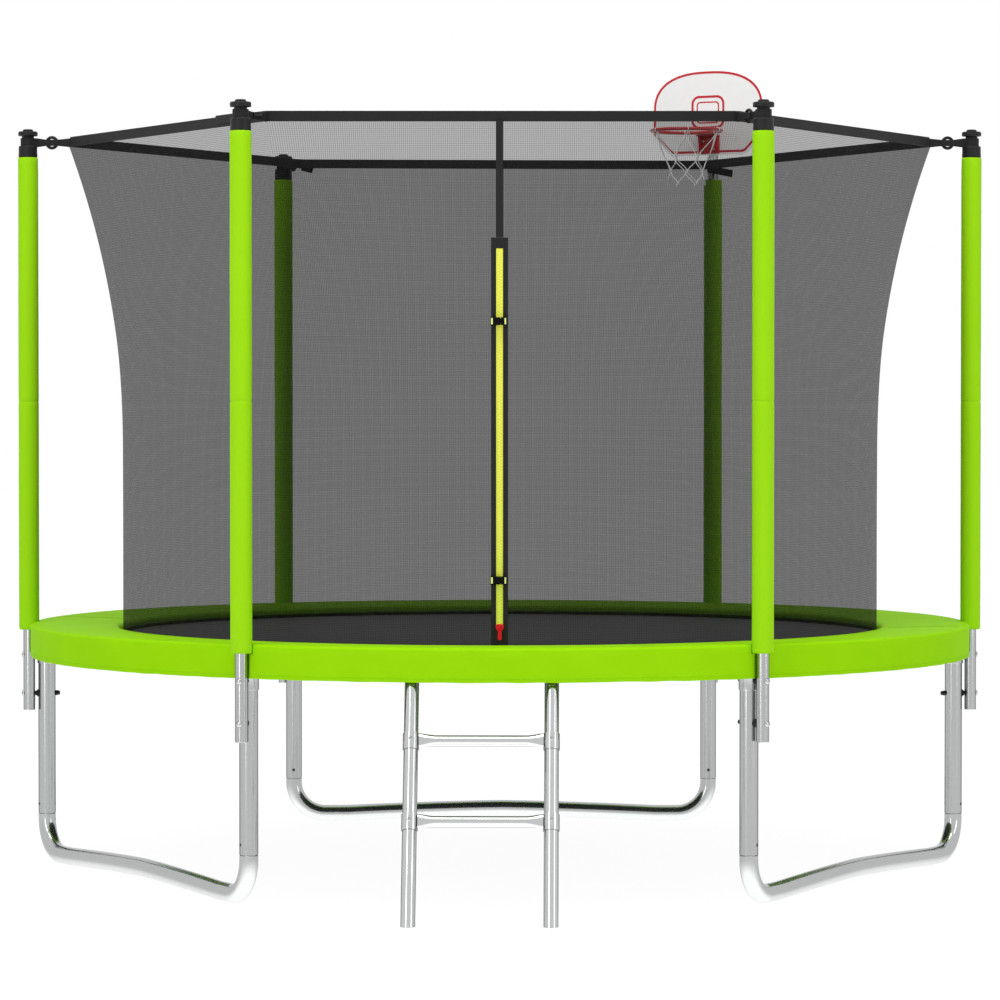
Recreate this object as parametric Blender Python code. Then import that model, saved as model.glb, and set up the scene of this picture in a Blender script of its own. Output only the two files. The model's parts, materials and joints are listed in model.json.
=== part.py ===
# A ten foot garden trampoline with its safety net, ladder and small basketball hoop.
# Metres, +Z up. The ladder and the net's door face -Y. The floor is at z = 0.
# Heights are measured from the floor and radii from the trampoline's upright centre line.

import bmesh
import bpy
from math import asin, atan2, cos, hypot, inf, pi, radians, sin, sqrt, tan
from mathutils import Matrix, Vector

CLEARANCE = 0.0003              # between pieces that touch
SIDE_NAMES = ("right", "back_right", "back_left", "left", "front_left", "front_right")
SIDE_COUNT = len(SIDE_NAMES)
LEG_STEP = 2 * pi / SIDE_COUNT  # one leg tube and one pole every 60 degrees
HOOP_SIDE = 1                   # the pole that carries the hoop, counted in SIDE_NAMES

# Frame ring and legs, all of one tube stock
RING_RADIUS = 1.4965
RING_HEIGHT = 0.735
TUBE_RADIUS = 0.0285
TUBE_WALL = 0.0018
TUBE_SIDES = 12
RING_SIDES = 8
SOCKET_WALL = 0.0022
SOCKET_LENGTH = 0.0850          # from the ring's centre down to the socket's open end
SOCKET_ROOF = 0.003             # metal between the socket's bore and the ring's bore
SPIGOT_LENGTH = 0.050           # how far a narrowed tube end plugs into the next tube
SPRING_COUNT = 60
SPRINGS_PER_SECTION = SPRING_COUNT // SIDE_COUNT
SPRING_STEP = 2 * pi / SPRING_COUNT
JOINT_LEAD = 1.5 * SPRING_STEP  # a ring section starts this far before its socket
LEG_JOINT_HEIGHT = 0.154
BASE_BEND_RADIUS = 0.112
BASE_BEND_STEPS = 3
BASE_FOOT_LENGTH = 0.080        # level run beside each bend, which stands on the floor
BASE_RISE = 0.018               # the rail's middle is this much higher than its feet

# Net poles, their foam sleeves and caps
POLE_RADIUS = 0.0193
POLE_WALL = 0.0015
POLE_SIDES = 12
POLE_OFFSET = 0.0579            # leg tube centre to pole centre
POLE_TURN = radians(11.7)       # each pole sits this much round its leg from straight outward
POLE_DROP = 0.2384              # from the ring's centre down to the pole's lower end
FOAM_RADIUS = 0.0330
FOAM_RISE = 0.0270              # from the ring's centre up to the foam's lower end
FOAM_LENGTH = 1.5540
FOAM_SIDES = 16
COLLAR_RADIUS = 0.0312
COLLAR_HEIGHT = 0.0372
NECK_RADIUS = 0.0200
NECK_HEIGHT = 0.0328
FLANGE_RADIUS = 0.0321
FLANGE_HEIGHT = 0.0148
KNOB_RADIUS = 0.0173
KNOB_HEIGHT = 0.0072
CAP_ROOF = 0.008
BOLT_DROP = 0.1833              # from the ring's centre down to the lower bolt
BOLT_RADIUS = 0.0040
BOLT_HEAD_RADIUS = 0.0080
BOLT_HEAD_HEIGHT = 0.0050
BOLT_CROWN_RADIUS = 0.0048      # flat middle of the bolt's rounded head
NUT_RADIUS = 0.0070
NUT_LENGTH = 0.0150
SPACER_RADIUS = 0.0070
BOLT_SIDES = 6

# Mat, springs and spring pad
SPRING_SPAN = 0.2065            # from the frame ring's centre in to the mat's edge
MAT_RISE = 0.0155               # from the ring's centre up to the mat's top
MAT_THICKNESS = 0.003
MAT_SIDES = 60
EDGE_WEB_WIDTH = 0.012
SPRING_RISE = 0.0140
SPRING_COIL_RADIUS = 0.0095
SPRING_HOOK_RADIUS = 0.0028
SPRING_TAIL = 0.0370            # from the mat's edge to the spring's first turn
SPRING_HEAD = 0.0495            # from the spring's last turn to the frame ring's centre
SPRING_SIDES = 4
PAD_LAP = 0.0425                # how far the pad covers the mat's edge
PAD_OVERHANG = 0.0435           # how far the skirt lies outside the frame ring's centre
PAD_RISE = 0.0520               # from the ring's centre up to the pad's top
PAD_REST_CLEARANCE = 0.0005
PAD_CROWN = 0.0035              # how far the pad's rims lie below its middle
PAD_ANGLES = (0.0, 0.36, 0.62, 0.9, 1.26, 6.0, 12.0, 18.0, 24.0)    # degrees from a pole's middle
SKIRT_THICKNESS = 0.0025
SKIRT_DROP = 0.0490             # from the ring's centre down to the skirt's hem
SPACER_ARCH = 0.0120            # opening in the skirt's hem round each upper bolt
UPPER_BOLT_DROP = 0.0560

# Safety net, its top band and its zipped door
NET_INSET = 0.0110              # from the pad's inner edge in to the net
STRAP_LENGTH = 0.1347           # pole's centre to the belt's corner
HOOP_STRAP_LENGTH = 0.0582      # this corner is pulled right to its pole, clear of the hoop's net
NET_FADE = 1.0                  # height over which the six corners melt into a round net
NET_FADE_POWER = 2              # above 1, the corners melt soonest just under the belt
NET_THICKNESS = 0.003
NET_SIDES = 36
NET_ROWS = 6
NET_ROW_POWER = 1.6             # gathers the rows of points towards the six-sided top
BAND_HEIGHT = 0.0290
BAND_THICKNESS = 0.003
FLAP_WIDTH = 0.0480
FLAP_THICKNESS = 0.0020
FLAP_RISE = 0.0250              # from the ring's centre up to the flap's lower end
FLAP_LENGTH = 1.2430
DOOR_STRAP_WIDTH = 0.0230
ZIPPER_WIDTH = 0.0220
ZIPPER_THICKNESS = 0.0012
ZIPPER_RISE = 0.0400            # from the flap's lower end up to the zipper's
ZIPPER_LENGTH = 1.1700
SLIDER_RISE = 0.0330            # from the zipper's lower end up to the closed slider
SLIDER_WIDTH = 0.0260
SLIDER_LENGTH = 0.0210
SLIDER_THICKNESS = 0.0045
LOOP_BAR = 0.0016
LOOP_WIDTH = 0.0040
LOOP_GAP = 0.0006               # between the slider's loop and the pull's bar inside it
PULL_AXIS_OUT = 0.0052          # the pull's hinge line to the slider's face
PULL_WIDTH = 0.0140
PULL_LENGTH = 0.0380
PULL_BAR = 0.0016
PULL_EYE_LENGTH = 0.0070
BUCKLE_CLEARANCE = 0.0012       # the slider and its loop run under the buckles
BUCKLE_RISES = (("upper", 0.9520), ("lower", 0.1755))     # above the zipper's lower end
BUCKLE_LENGTH = 0.0500
BUCKLE_TALL = 0.0240
BUCKLE_THICKNESS = 0.0085
BUCKLE_POST = 0.0050
BUCKLE_SPLIT = 0.0060           # where the two halves meet, right of the middle
TONGUE_LENGTH = 0.0200
TONGUE_TALL = 0.0150
TONGUE_THICKNESS = 0.0040

# Ladder, hooked over the frame ring
LADDER_ANGLE = radians(268.1)
LADDER_HALF_WIDTH = 0.206
LADDER_FOOT_OUT = 0.2935        # from the frame ring's centre out to the ladder's feet
RAIL_RADIUS = 0.0200
RAIL_WALL = 0.0015
RAIL_SIDES = 12
RAIL_INSET = 0.0015             # the rail's front lies this far behind the hook's centre
HOOK_CLEARANCE = 0.0040
HOOK_PLAY = 0.0028              # sideways slant of the round ring across a hook's width
HOOK_THICKNESS = 0.0030
HOOK_WIDTH = 0.0200
HOOK_SHANK = 0.060
HOOK_TIP = radians(128)
HOOK_STEPS = 10
RUNG_RADIUS = 0.0165
RUNG_HEIGHTS = (("upper", 0.5170), ("lower", 0.2900))
SADDLE_THICKNESS = 0.0025
SADDLE_TALL = 0.0430
SADDLE_REACH = radians(100)
SADDLE_STEPS = 8

# Basketball hoop on the back right pole
STEM_RADIUS = 0.0175
STEM_DEPTH = 0.070              # how far the stem plugs into its pole
STEM_RISE = 0.1620              # above the foam's upper end
BOARD_HALF_WIDTH = 0.2275
BOARD_RISE = 0.0930             # above the foam's upper end
BOARD_HEIGHT = 0.3054
BOARD_ARCH_HEIGHT = 0.1544      # of which the arch takes this much
BOARD_CHAMFER = 0.0850
BOARD_THICKNESS = 0.0060
BOARD_ARCH_STEPS = 18
BOARD_ARCH_POWER = 2.3
BRACKET_WIDTH = 0.0840
BRACKET_RISE = 0.0040           # above the board's lower edge
BRACKET_HEIGHT = 0.0680
BRACKET_DEPTH = 0.0280
RIM_RADIUS = 0.1230
RIM_BAR_RADIUS = 0.0050
RIM_CENTRE_OUT = 0.1690         # rim centre to the board's face
RIM_SEGMENTS = 24
RIM_SIDES = 6
RIM_ARM_WIDTH = 0.0560
RIM_ARM_THICKNESS = 0.0080
HOOP_NET_LOOPS = 8
HOOP_NET_ROWS = 4
HOOP_NET_DROP = 0.1910          # from the bracket's top down to the net's lowest knots
HOOP_NET_BOTTOM_RADIUS = 0.0640
HOOP_NET_CORD = 0.0030
HOOP_NET_POWER = 0.7            # below 1, the net narrows soonest just under the rim

# What follows from the sizes above
POLE_DISTANCE = hypot(RING_RADIUS + POLE_OFFSET * cos(POLE_TURN), POLE_OFFSET * sin(POLE_TURN))
SOCKET_BOTTOM = RING_HEIGHT - SOCKET_LENGTH
POLE_BOTTOM = RING_HEIGHT - POLE_DROP
BOLT_HEIGHT = RING_HEIGHT - BOLT_DROP
UPPER_BOLT_HEIGHT = RING_HEIGHT - UPPER_BOLT_DROP
FOAM_BOTTOM = RING_HEIGHT + FOAM_RISE
FOAM_TOP = FOAM_BOTTOM + FOAM_LENGTH
MAT_TOP = RING_HEIGHT + MAT_RISE
SPRING_HEIGHT = RING_HEIGHT + SPRING_RISE
PAD_TOP = RING_HEIGHT + PAD_RISE
SKIRT_BOTTOM = RING_HEIGHT - SKIRT_DROP
FLAP_BOTTOM = RING_HEIGHT + FLAP_RISE
FLAP_TOP = FLAP_BOTTOM + FLAP_LENGTH
ZIPPER_BOTTOM = FLAP_BOTTOM + ZIPPER_RISE
ZIPPER_TOP = ZIPPER_BOTTOM + ZIPPER_LENGTH
SLIDER_HEIGHT_AT_REST = ZIPPER_BOTTOM + SLIDER_RISE
BUCKLE_HEIGHTS = tuple((name, ZIPPER_BOTTOM + rise) for name, rise in BUCKLE_RISES)
STEM_TOP = FOAM_TOP + STEM_RISE
BOARD_BOTTOM = FOAM_TOP + BOARD_RISE
BOARD_TOP = BOARD_BOTTOM + BOARD_HEIGHT
BOARD_SHOULDER = BOARD_TOP - BOARD_ARCH_HEIGHT
BRACKET_BOTTOM = BOARD_BOTTOM + BRACKET_RISE
BRACKET_TOP = BRACKET_BOTTOM + BRACKET_HEIGHT
HOOP_NET_BOTTOM = BRACKET_TOP - HOOP_NET_DROP
MAT_RADIUS = RING_RADIUS - SPRING_SPAN
SPRING_COIL_START = MAT_RADIUS + SPRING_TAIL
SPRING_COIL_END = RING_RADIUS - SPRING_HEAD
PAD_INNER_RADIUS = MAT_RADIUS - PAD_LAP
PAD_OUTER_RADIUS = RING_RADIUS + PAD_OVERHANG
NET_RADIUS = PAD_INNER_RADIUS - NET_INSET
NET_CORNER_RADIUS = POLE_DISTANCE - STRAP_LENGTH
HOOP_CORNER_RADIUS = POLE_DISTANCE - HOOP_STRAP_LENGTH
LADDER_FOOT_RADIUS = RING_RADIUS + LADDER_FOOT_OUT
TUBE_BORE = TUBE_RADIUS - TUBE_WALL
SPIGOT_RADIUS = TUBE_BORE - CLEARANCE
POLE_BORE = POLE_RADIUS - POLE_WALL
CAP_BOTTOM = FOAM_TOP + CLEARANCE
COLLAR_TOP = CAP_BOTTOM + COLLAR_HEIGHT
POLE_TOP = COLLAR_TOP - CAP_ROOF - CLEARANCE
BAND_BOTTOM = COLLAR_TOP + 2 * CLEARANCE
NET_TOP = BAND_BOTTOM - CLEARANCE
NET_BOTTOM = MAT_TOP + CLEARANCE
DOOR_RADIUS = max(NET_RADIUS, NET_CORNER_RADIUS * cos(LEG_STEP / 2))
FLAP_BACK = DOOR_RADIUS + NET_THICKNESS / 2 + CLEARANCE
FLAP_FRONT = FLAP_BACK + FLAP_THICKNESS
ZIPPER_FRONT = FLAP_FRONT + CLEARANCE + ZIPPER_THICKNESS
SLIDER_FRONT = ZIPPER_FRONT + CLEARANCE + SLIDER_THICKNESS
PULL_AXIS = SLIDER_FRONT + PULL_AXIS_OUT
LOOP_FRONT = PULL_BAR / 2 + LOOP_GAP + LOOP_BAR
BUCKLE_BACK = PULL_AXIS + LOOP_FRONT + BUCKLE_CLEARANCE
RING_VERTEX_RADIUS = RING_RADIUS / cos(SPRING_STEP / 2)
HOOK_INNER = TUBE_RADIUS + HOOK_CLEARANCE
HOOK_OUTER = HOOK_INNER + HOOK_THICKNESS
HOOK_SEAT_HALF = TUBE_RADIUS * sin(pi / RING_SIDES) + HOOK_PLAY
HOOK_SEAT_HEIGHT = sqrt(HOOK_INNER ** 2 - HOOK_SEAT_HALF ** 2) - CLEARANCE
HOOK_CENTRE_HEIGHT = RING_HEIGHT + TUBE_RADIUS * cos(pi / RING_SIDES) - HOOK_SEAT_HEIGHT
BOARD_BACK = STEM_RADIUS + CLEARANCE
BOARD_FACE = BOARD_BACK + BOARD_THICKNESS

STEEL = ("galvanised steel", (0.47, 0.49, 0.48), 0.35, 0.9)
BLACK_PLASTIC = ("black plastic", (0.03, 0.03, 0.03), 0.5, 0.0)
LIME_FOAM = ("lime foam cover", (0.35, 0.75, 0.01), 0.5, 0.0)
BLACK_MAT = ("black mat", (0.02, 0.02, 0.02), 0.8, 0.0)
NET_BLACK = ("net", (0.04, 0.04, 0.04), 0.8, 0.0)
WEBBING = ("black webbing", (0.025, 0.025, 0.025), 0.85, 0.0)
ZIPPER_YELLOW = ("yellow zipper", (0.85, 0.87, 0.06), 0.5, 0.0)
HOOP_RED = ("red paint", (0.60, 0.01, 0.02), 0.4, 0.0)
BOARD_WHITE = ("board", (0.85, 0.85, 0.85), 0.3, 0.0)
CORD_WHITE = ("white cord", (0.80, 0.80, 0.80), 0.8, 0.0)


def clear_scene():
    for found in list(bpy.data.objects):
        bpy.data.objects.remove(found, do_unlink=True)


def material_for(finish):
    name, colour, roughness, metallic = finish
    known = bpy.data.materials.get(name)
    if known:
        return known
    made = bpy.data.materials.new(name)
    made.use_nodes = True
    shader = made.node_tree.nodes["Principled BSDF"]
    shader.inputs["Base Color"].default_value = (*colour, 1.0)
    shader.inputs["Roughness"].default_value = roughness
    shader.inputs["Metallic"].default_value = metallic
    return made


def add_empty(name, location, turn=0.0, parent=None):
    empty = bpy.data.objects.new(name, None)
    bpy.context.collection.objects.link(empty)
    empty.location = location
    empty.rotation_euler.z = turn
    empty.parent = parent
    return empty


def add_piece(name, mesh, finish, location=(0, 0, 0), turn=0.0, parent=None):
    piece = bpy.data.objects.new(name, mesh)
    bpy.context.collection.objects.link(piece)
    piece.location = location
    piece.rotation_euler.z = turn
    piece.parent = parent
    mesh.materials.clear()
    mesh.materials.append(material_for(finish))
    mesh.shade_smooth()
    mesh.set_sharp_from_angle(angle=radians(35))
    return piece


# Joins equal rings of points by walls. Looped rings close on themselves, as a tube's
# outer and inner walls do, and other shapes get flat ends.
def loft(name, rings, looped=False):
    build = bmesh.new()
    rows = [[build.verts.new(point) for point in ring] for ring in rings]
    pairs = list(zip(rows, rows[1:]))
    if looped:
        pairs.append((rows[-1], rows[0]))
    for lower, upper in pairs:
        for index in range(len(lower)):
            following = (index + 1) % len(lower)
            build.faces.new((lower[index], lower[following], upper[following], upper[index]))
    if not looped:
        build.faces.new(rows[0])
        build.faces.new(rows[-1])
    bmesh.ops.recalc_face_normals(build, faces=build.faces)
    mesh = bpy.data.meshes.new(name)
    build.to_mesh(mesh)
    build.free()
    return mesh


# A polygon ring round a centre, with a flat side towards the first axis.
def polygon(centre, first, second, radius, sides):
    points = []
    for index in range(sides):
        angle = 2 * pi * (index + 0.5) / sides
        points.append(centre + radius * (cos(angle) * first + sin(angle) * second))
    return points


# How far a polygon's side lies from its centre, in a direction near a flat side's middle.
def flat_distance(radius, sides, angle=0.0):
    return radius * cos(pi / sides) / cos(angle)


# The radius of a polygon that just clears a round piece inside it.
def clear_bore(radius, sides):
    return (radius + CLEARANCE) / cos(pi / sides)


def turned(name, profile, sides, looped=False):
    across, along, up = Vector((1, 0, 0)), Vector((0, 1, 0)), Vector((0, 0, 1))
    rings = [polygon(height * up, across, along, radius, sides) for radius, height in profile]
    return loft(name, rings, looped)


def tube(name, outer, inner, bottom, top, sides):
    profile = ((outer, bottom), (outer, top), (inner, top), (inner, bottom))
    return turned(name, profile, sides, looped=True)


def bar(name, start, end, radius, sides):
    start, end = Vector(start), Vector(end)
    along = (end - start).normalized()
    helper = Vector((0, 0, 1)) if abs(along.z) < 0.9 else Vector((0, 1, 0))
    first = along.cross(helper).normalized()
    second = along.cross(first)
    rings = [polygon(point, first, second, radius, sides) for point in (start, end)]
    return loft(name, rings)


def block(name, low, high):
    (x0, y0, z0), (x1, y1, z1) = low, high
    rings = [((x0, y0, z), (x1, y0, z), (x1, y1, z), (x0, y1, z)) for z in (z0, z1)]
    return loft(name, rings)


# A flat outline pushed through a thickness. The two axes give the outline's plane.
def plate(name, outline, first, second, start, end):
    through = first.cross(second)
    rings = []
    for depth in (start, end):
        rings.append([x * first + y * second + depth * through for x, y in outline])
    return loft(name, rings)


def carve(mesh, joined=(), removed=()):
    body = bpy.data.objects.new("carved", mesh)
    bpy.context.collection.objects.link(body)
    helpers = [body]
    for operation, tools in (("UNION", joined), ("DIFFERENCE", removed)):
        for tool_mesh in tools:
            tool = bpy.data.objects.new("tool", tool_mesh)
            bpy.context.collection.objects.link(tool)
            helpers.append(tool)
            change = body.modifiers.new(operation.lower(), "BOOLEAN")
            change.object = tool
            change.operation = operation
            change.solver = "EXACT"
    bpy.context.view_layer.update()
    graph = bpy.context.evaluated_depsgraph_get()
    result = bpy.data.meshes.new_from_object(body.evaluated_get(graph))
    for helper in helpers:
        bpy.data.objects.remove(helper)
    return result


def leg_place(index):
    angle = LEG_STEP * index
    return Vector((RING_RADIUS * cos(angle), RING_RADIUS * sin(angle), 0))


def pole_place(index):
    angle = LEG_STEP * index + POLE_TURN
    return leg_place(index) + POLE_OFFSET * Vector((cos(angle), sin(angle), 0))


# The six poles stand a little round from the legs, and the net hangs on the poles.
def net_shift():
    first = pole_place(0)
    return atan2(first.y, first.x)


def ring_point(step):
    angle = step * SPRING_STEP - JOINT_LEAD
    return RING_VERTEX_RADIUS * Vector((cos(angle), sin(angle), 0))


# One sixth of the frame ring: a bent tube whose far end is narrowed to plug into the
# next section, with a welded socket below for the leg.
def ring_section_mesh():
    up = Vector((0, 0, 1))
    stations = []
    for step in range(SPRINGS_PER_SECTION + 1):
        point = ring_point(step)
        outward = point.normalized()
        stations.append((point, outward))
    first_point, first_outward = stations[0]
    along = (stations[1][0] - first_point).normalized()
    stations[0] = (first_point + CLEARANCE * along, first_outward)
    last_point, last_outward = stations[-1]
    onward = (ring_point(SPRINGS_PER_SECTION + 1) - last_point).normalized()
    plug_outward = onward.cross(up)

    def skin(radius):
        return [polygon(point, outward, up, radius, RING_SIDES) for point, outward in stations]

    plug_tip = last_point + SPIGOT_LENGTH * onward
    plug_bore = SPIGOT_RADIUS - TUBE_WALL
    plug = [
        polygon(last_point, last_outward, up, SPIGOT_RADIUS, RING_SIDES),
        polygon(plug_tip, plug_outward, up, SPIGOT_RADIUS, RING_SIDES),
        polygon(plug_tip, plug_outward, up, plug_bore, RING_SIDES),
    ]
    solid = loft("ring", skin(TUBE_RADIUS) + plug[:2])
    bore_rings = skin(TUBE_BORE)
    bore_rings[0] = [point - SPIGOT_LENGTH * along for point in bore_rings[0]]
    bore_rings[-1] = polygon(last_point, last_outward, up, plug_bore, RING_SIDES)
    bore_rings.append([point + SPIGOT_LENGTH * onward for point in plug[2]])
    bore = loft("ring bore", bore_rings)
    socket_bore = clear_bore(TUBE_RADIUS, TUBE_SIDES) * cos(pi / TUBE_SIDES)
    socket_radius = socket_bore + SOCKET_WALL
    bottom = SOCKET_BOTTOM - RING_HEIGHT
    roof = -flat_distance(TUBE_BORE, RING_SIDES) - SOCKET_ROOF
    centre = Vector((RING_RADIUS, 0, 0))
    across, aside = Vector((1, 0, 0)), Vector((0, 1, 0))

    def stub(name, radius, low, high):
        rings = [polygon(centre + z * up, across, aside, radius, TUBE_SIDES) for z in (low, high)]
        return loft(name, rings)

    socket = stub("socket", socket_radius, bottom, 0.0)
    socket_hole = stub("socket bore", socket_bore, bottom - SPIGOT_LENGTH, roof)
    return carve(solid, joined=[socket], removed=[bore, socket_hole])


def make_ring(root):
    mesh = ring_section_mesh()
    for index, side in enumerate(SIDE_NAMES):
        add_piece(f"ring_section_{side}", mesh, STEEL, (0, 0, RING_HEIGHT), LEG_STEP * index, root)


# A floor rail with both ends bent up. Its local x runs from one leg to the next.
def leg_base_mesh():
    half = RING_RADIUS / 2
    floor_height = flat_distance(TUBE_RADIUS, TUBE_SIDES)
    bend_top = floor_height + BASE_BEND_RADIUS
    bend_x = half - BASE_BEND_RADIUS
    depth = Vector((0, 1, 0))
    path = [((half, LEG_JOINT_HEIGHT), 0.0)]
    for step in range(BASE_BEND_STEPS + 1):
        angle = (pi / 2) * step / BASE_BEND_STEPS
        place = (bend_x + BASE_BEND_RADIUS * cos(angle), bend_top - BASE_BEND_RADIUS * sin(angle))
        path.append((place, angle))
    foot_end = bend_x - BASE_FOOT_LENGTH
    slope = atan2(BASE_RISE, foot_end)
    path.append(((foot_end, floor_height), pi / 2 - slope / 2))
    middle = ((0.0, floor_height + BASE_RISE), pi / 2)
    mirrored = [((-x, z), pi - angle) for (x, z), angle in reversed(path)]
    path = path + [middle] + mirrored

    def skin(radius, ends):
        (start, start_angle), (end, end_angle) = path[0], path[-1]
        raised = [((start[0], start[1] + ends), start_angle)] + path[1:-1]
        raised = raised + [((end[0], end[1] + ends), end_angle)]
        rings = []
        for (x, z), angle in raised:
            outward = Vector((cos(angle), 0, -sin(angle)))
            rings.append(polygon(Vector((x, 0, z)), outward, depth, radius, TUBE_SIDES))
        return rings

    def spigot_ring(side, height, radius):
        facing = Vector((side, 0, 0))
        return polygon(Vector((side * half, 0, height)), facing, depth, radius, TUBE_SIDES)

    tip = LEG_JOINT_HEIGHT + SPIGOT_LENGTH
    bore = SPIGOT_RADIUS - TUBE_WALL
    outer = skin(TUBE_RADIUS, 0.0)
    outer.insert(0, spigot_ring(1, LEG_JOINT_HEIGHT, SPIGOT_RADIUS))
    outer.insert(0, spigot_ring(1, tip, SPIGOT_RADIUS))
    outer.append(spigot_ring(-1, LEG_JOINT_HEIGHT, SPIGOT_RADIUS))
    outer.append(spigot_ring(-1, tip, SPIGOT_RADIUS))
    inner = skin(bore, SPIGOT_LENGTH)
    return loft("leg base", outer + inner[::-1], looped=True)


def make_legs(root):
    base = leg_base_mesh()
    for name, first in (("back", 1), ("left", 3), ("right", 5)):
        middle = (leg_place(first) + leg_place(first + 1)) / 2
        turn = LEG_STEP * (first + 0.5) - pi / 2
        add_piece(f"leg_base_{name}", base, STEEL, middle, turn, root)
    bottom = LEG_JOINT_HEIGHT + CLEARANCE
    roof = RING_HEIGHT - flat_distance(TUBE_BORE, RING_SIDES) - SOCKET_ROOF
    plain = tube("leg upright", TUBE_RADIUS, TUBE_BORE, bottom, roof - CLEARANCE, TUBE_SIDES)
    aim = Vector((cos(POLE_TURN), sin(POLE_TURN), 0))
    height = Vector((0, 0, BOLT_HEIGHT))
    reach = 2 * TUBE_RADIUS
    hole_radius = clear_bore(BOLT_RADIUS, BOLT_SIDES)
    hole = bar("hole", height - reach * aim, height + reach * aim, hole_radius, BOLT_SIDES)
    upright = carve(plain, removed=[hole])
    for index, side in enumerate(SIDE_NAMES):
        turn = LEG_STEP * index
        add_piece(f"leg_upright_{side}", upright, STEEL, leg_place(index), turn, root)


# The bolt's local x runs from the pole's centre towards the leg.
def bolt_mesh():
    pole_face = flat_distance(POLE_RADIUS, POLE_SIDES)
    leg_face = POLE_OFFSET - flat_distance(TUBE_RADIUS, TUBE_SIDES, POLE_TURN)
    leg_far = POLE_OFFSET + flat_distance(TUBE_RADIUS, TUBE_SIDES, POLE_TURN)
    slant = SPACER_RADIUS * tan(POLE_TURN)
    nut_slant = NUT_RADIUS * tan(POLE_TURN)
    profile = (
        (BOLT_CROWN_RADIUS, -pole_face - CLEARANCE - BOLT_HEAD_HEIGHT),
        (BOLT_HEAD_RADIUS, -pole_face - CLEARANCE - BOLT_HEAD_HEIGHT / 2),
        (BOLT_HEAD_RADIUS, -pole_face - CLEARANCE),
        (BOLT_RADIUS, -pole_face - CLEARANCE),
        (BOLT_RADIUS, pole_face + CLEARANCE),
        (SPACER_RADIUS, pole_face + CLEARANCE),
        (SPACER_RADIUS, leg_face - slant - CLEARANCE),
        (BOLT_RADIUS, leg_face - slant - CLEARANCE),
        (BOLT_RADIUS, leg_far + nut_slant + CLEARANCE),
        (NUT_RADIUS, leg_far + nut_slant + CLEARANCE),
        (NUT_RADIUS, leg_far + nut_slant + NUT_LENGTH),
    )
    along, aside, up = Vector((1, 0, 0)), Vector((0, 1, 0)), Vector((0, 0, 1))
    rings = [polygon(x * along, aside, up, radius, BOLT_SIDES) for radius, x in profile]
    return loft("pole bolt", rings)


def cap_mesh():
    bore = clear_bore(POLE_RADIUS, POLE_SIDES)
    flange_bottom = COLLAR_TOP + NECK_HEIGHT
    flange_top = flange_bottom + FLANGE_HEIGHT
    profile = (
        (bore, COLLAR_TOP - CAP_ROOF),
        (bore, CAP_BOTTOM),
        (COLLAR_RADIUS, CAP_BOTTOM),
        (COLLAR_RADIUS, COLLAR_TOP),
        (NECK_RADIUS, COLLAR_TOP),
        (NECK_RADIUS, flange_bottom),
        (FLANGE_RADIUS, flange_bottom),
        (FLANGE_RADIUS, flange_top),
        (KNOB_RADIUS, flange_top),
        (KNOB_RADIUS, flange_top + KNOB_HEIGHT),
    )
    return turned("pole cap", profile, POLE_SIDES)


def make_poles(root):
    plain = tube("pole", POLE_RADIUS, POLE_BORE, POLE_BOTTOM, POLE_TOP, POLE_SIDES)
    reach = Vector((2 * POLE_RADIUS, 0, 0))
    height = Vector((0, 0, BOLT_HEIGHT))
    hole_radius = clear_bore(BOLT_RADIUS, BOLT_SIDES)
    pole = carve(plain, removed=[bar("hole", height - reach, height + reach, hole_radius, BOLT_SIDES)])
    foam_bore = clear_bore(POLE_RADIUS, FOAM_SIDES)
    foam = tube("pole foam", FOAM_RADIUS, foam_bore, FOAM_BOTTOM, FOAM_TOP, FOAM_SIDES)
    cap = cap_mesh()
    bolt = bolt_mesh()
    for index, side in enumerate(SIDE_NAMES):
        place = pole_place(index)
        turn = LEG_STEP * index + POLE_TURN + pi
        add_piece(f"pole_{side}", pole, STEEL, place, turn, root)
        add_piece(f"pole_foam_{side}", foam, LIME_FOAM, place, turn, root)
        add_piece(f"pole_bolt_{side}", bolt, BLACK_PLASTIC, place + height, turn, root)
        if index != HOOP_SIDE:
            add_piece(f"pole_cap_{side}", cap, BLACK_PLASTIC, place, turn, root)


def make_mat(root):
    profile = ((MAT_RADIUS, MAT_TOP - MAT_THICKNESS), (MAT_RADIUS, MAT_TOP))
    mesh = turned("jump mat", profile, MAT_SIDES)
    add_piece("jump_mat", mesh, BLACK_MAT, parent=root)


# The mat's sewn edge web with every spring hooked into it, as one solid.
def make_springs(root):
    inner = clear_bore(MAT_RADIUS, MAT_SIDES)
    web_low, web_high = MAT_TOP - MAT_THICKNESS, MAT_TOP
    outer = inner + EDGE_WEB_WIDTH
    web = tube("edge web", outer, inner, web_low, web_high, MAT_SIDES)
    ring_side = RING_VERTEX_RADIUS - flat_distance(TUBE_RADIUS, RING_SIDES)
    profile = (
        (inner + EDGE_WEB_WIDTH / 2, SPRING_HOOK_RADIUS),
        (SPRING_COIL_START, SPRING_COIL_RADIUS),
        (SPRING_COIL_END, SPRING_COIL_RADIUS),
        (ring_side - CLEARANCE, SPRING_HOOK_RADIUS),
    )
    up = Vector((0, 0, 1))
    build = bmesh.new()
    for index in range(SPRING_COUNT):
        angle = (index + 0.5) * SPRING_STEP
        outward = Vector((cos(angle), sin(angle), 0))
        aside = Vector((-sin(angle), cos(angle), 0))
        rings = []
        for distance, radius in profile:
            centre = distance * outward + SPRING_HEIGHT * up
            rings.append(polygon(centre, up, aside, radius, SPRING_SIDES))
        build.from_mesh(loft("spring", rings))
    springs = bpy.data.meshes.new("springs")
    build.to_mesh(springs)
    build.free()
    add_piece("mat_springs", carve(web, joined=[springs]), STEEL, parent=root)


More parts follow.
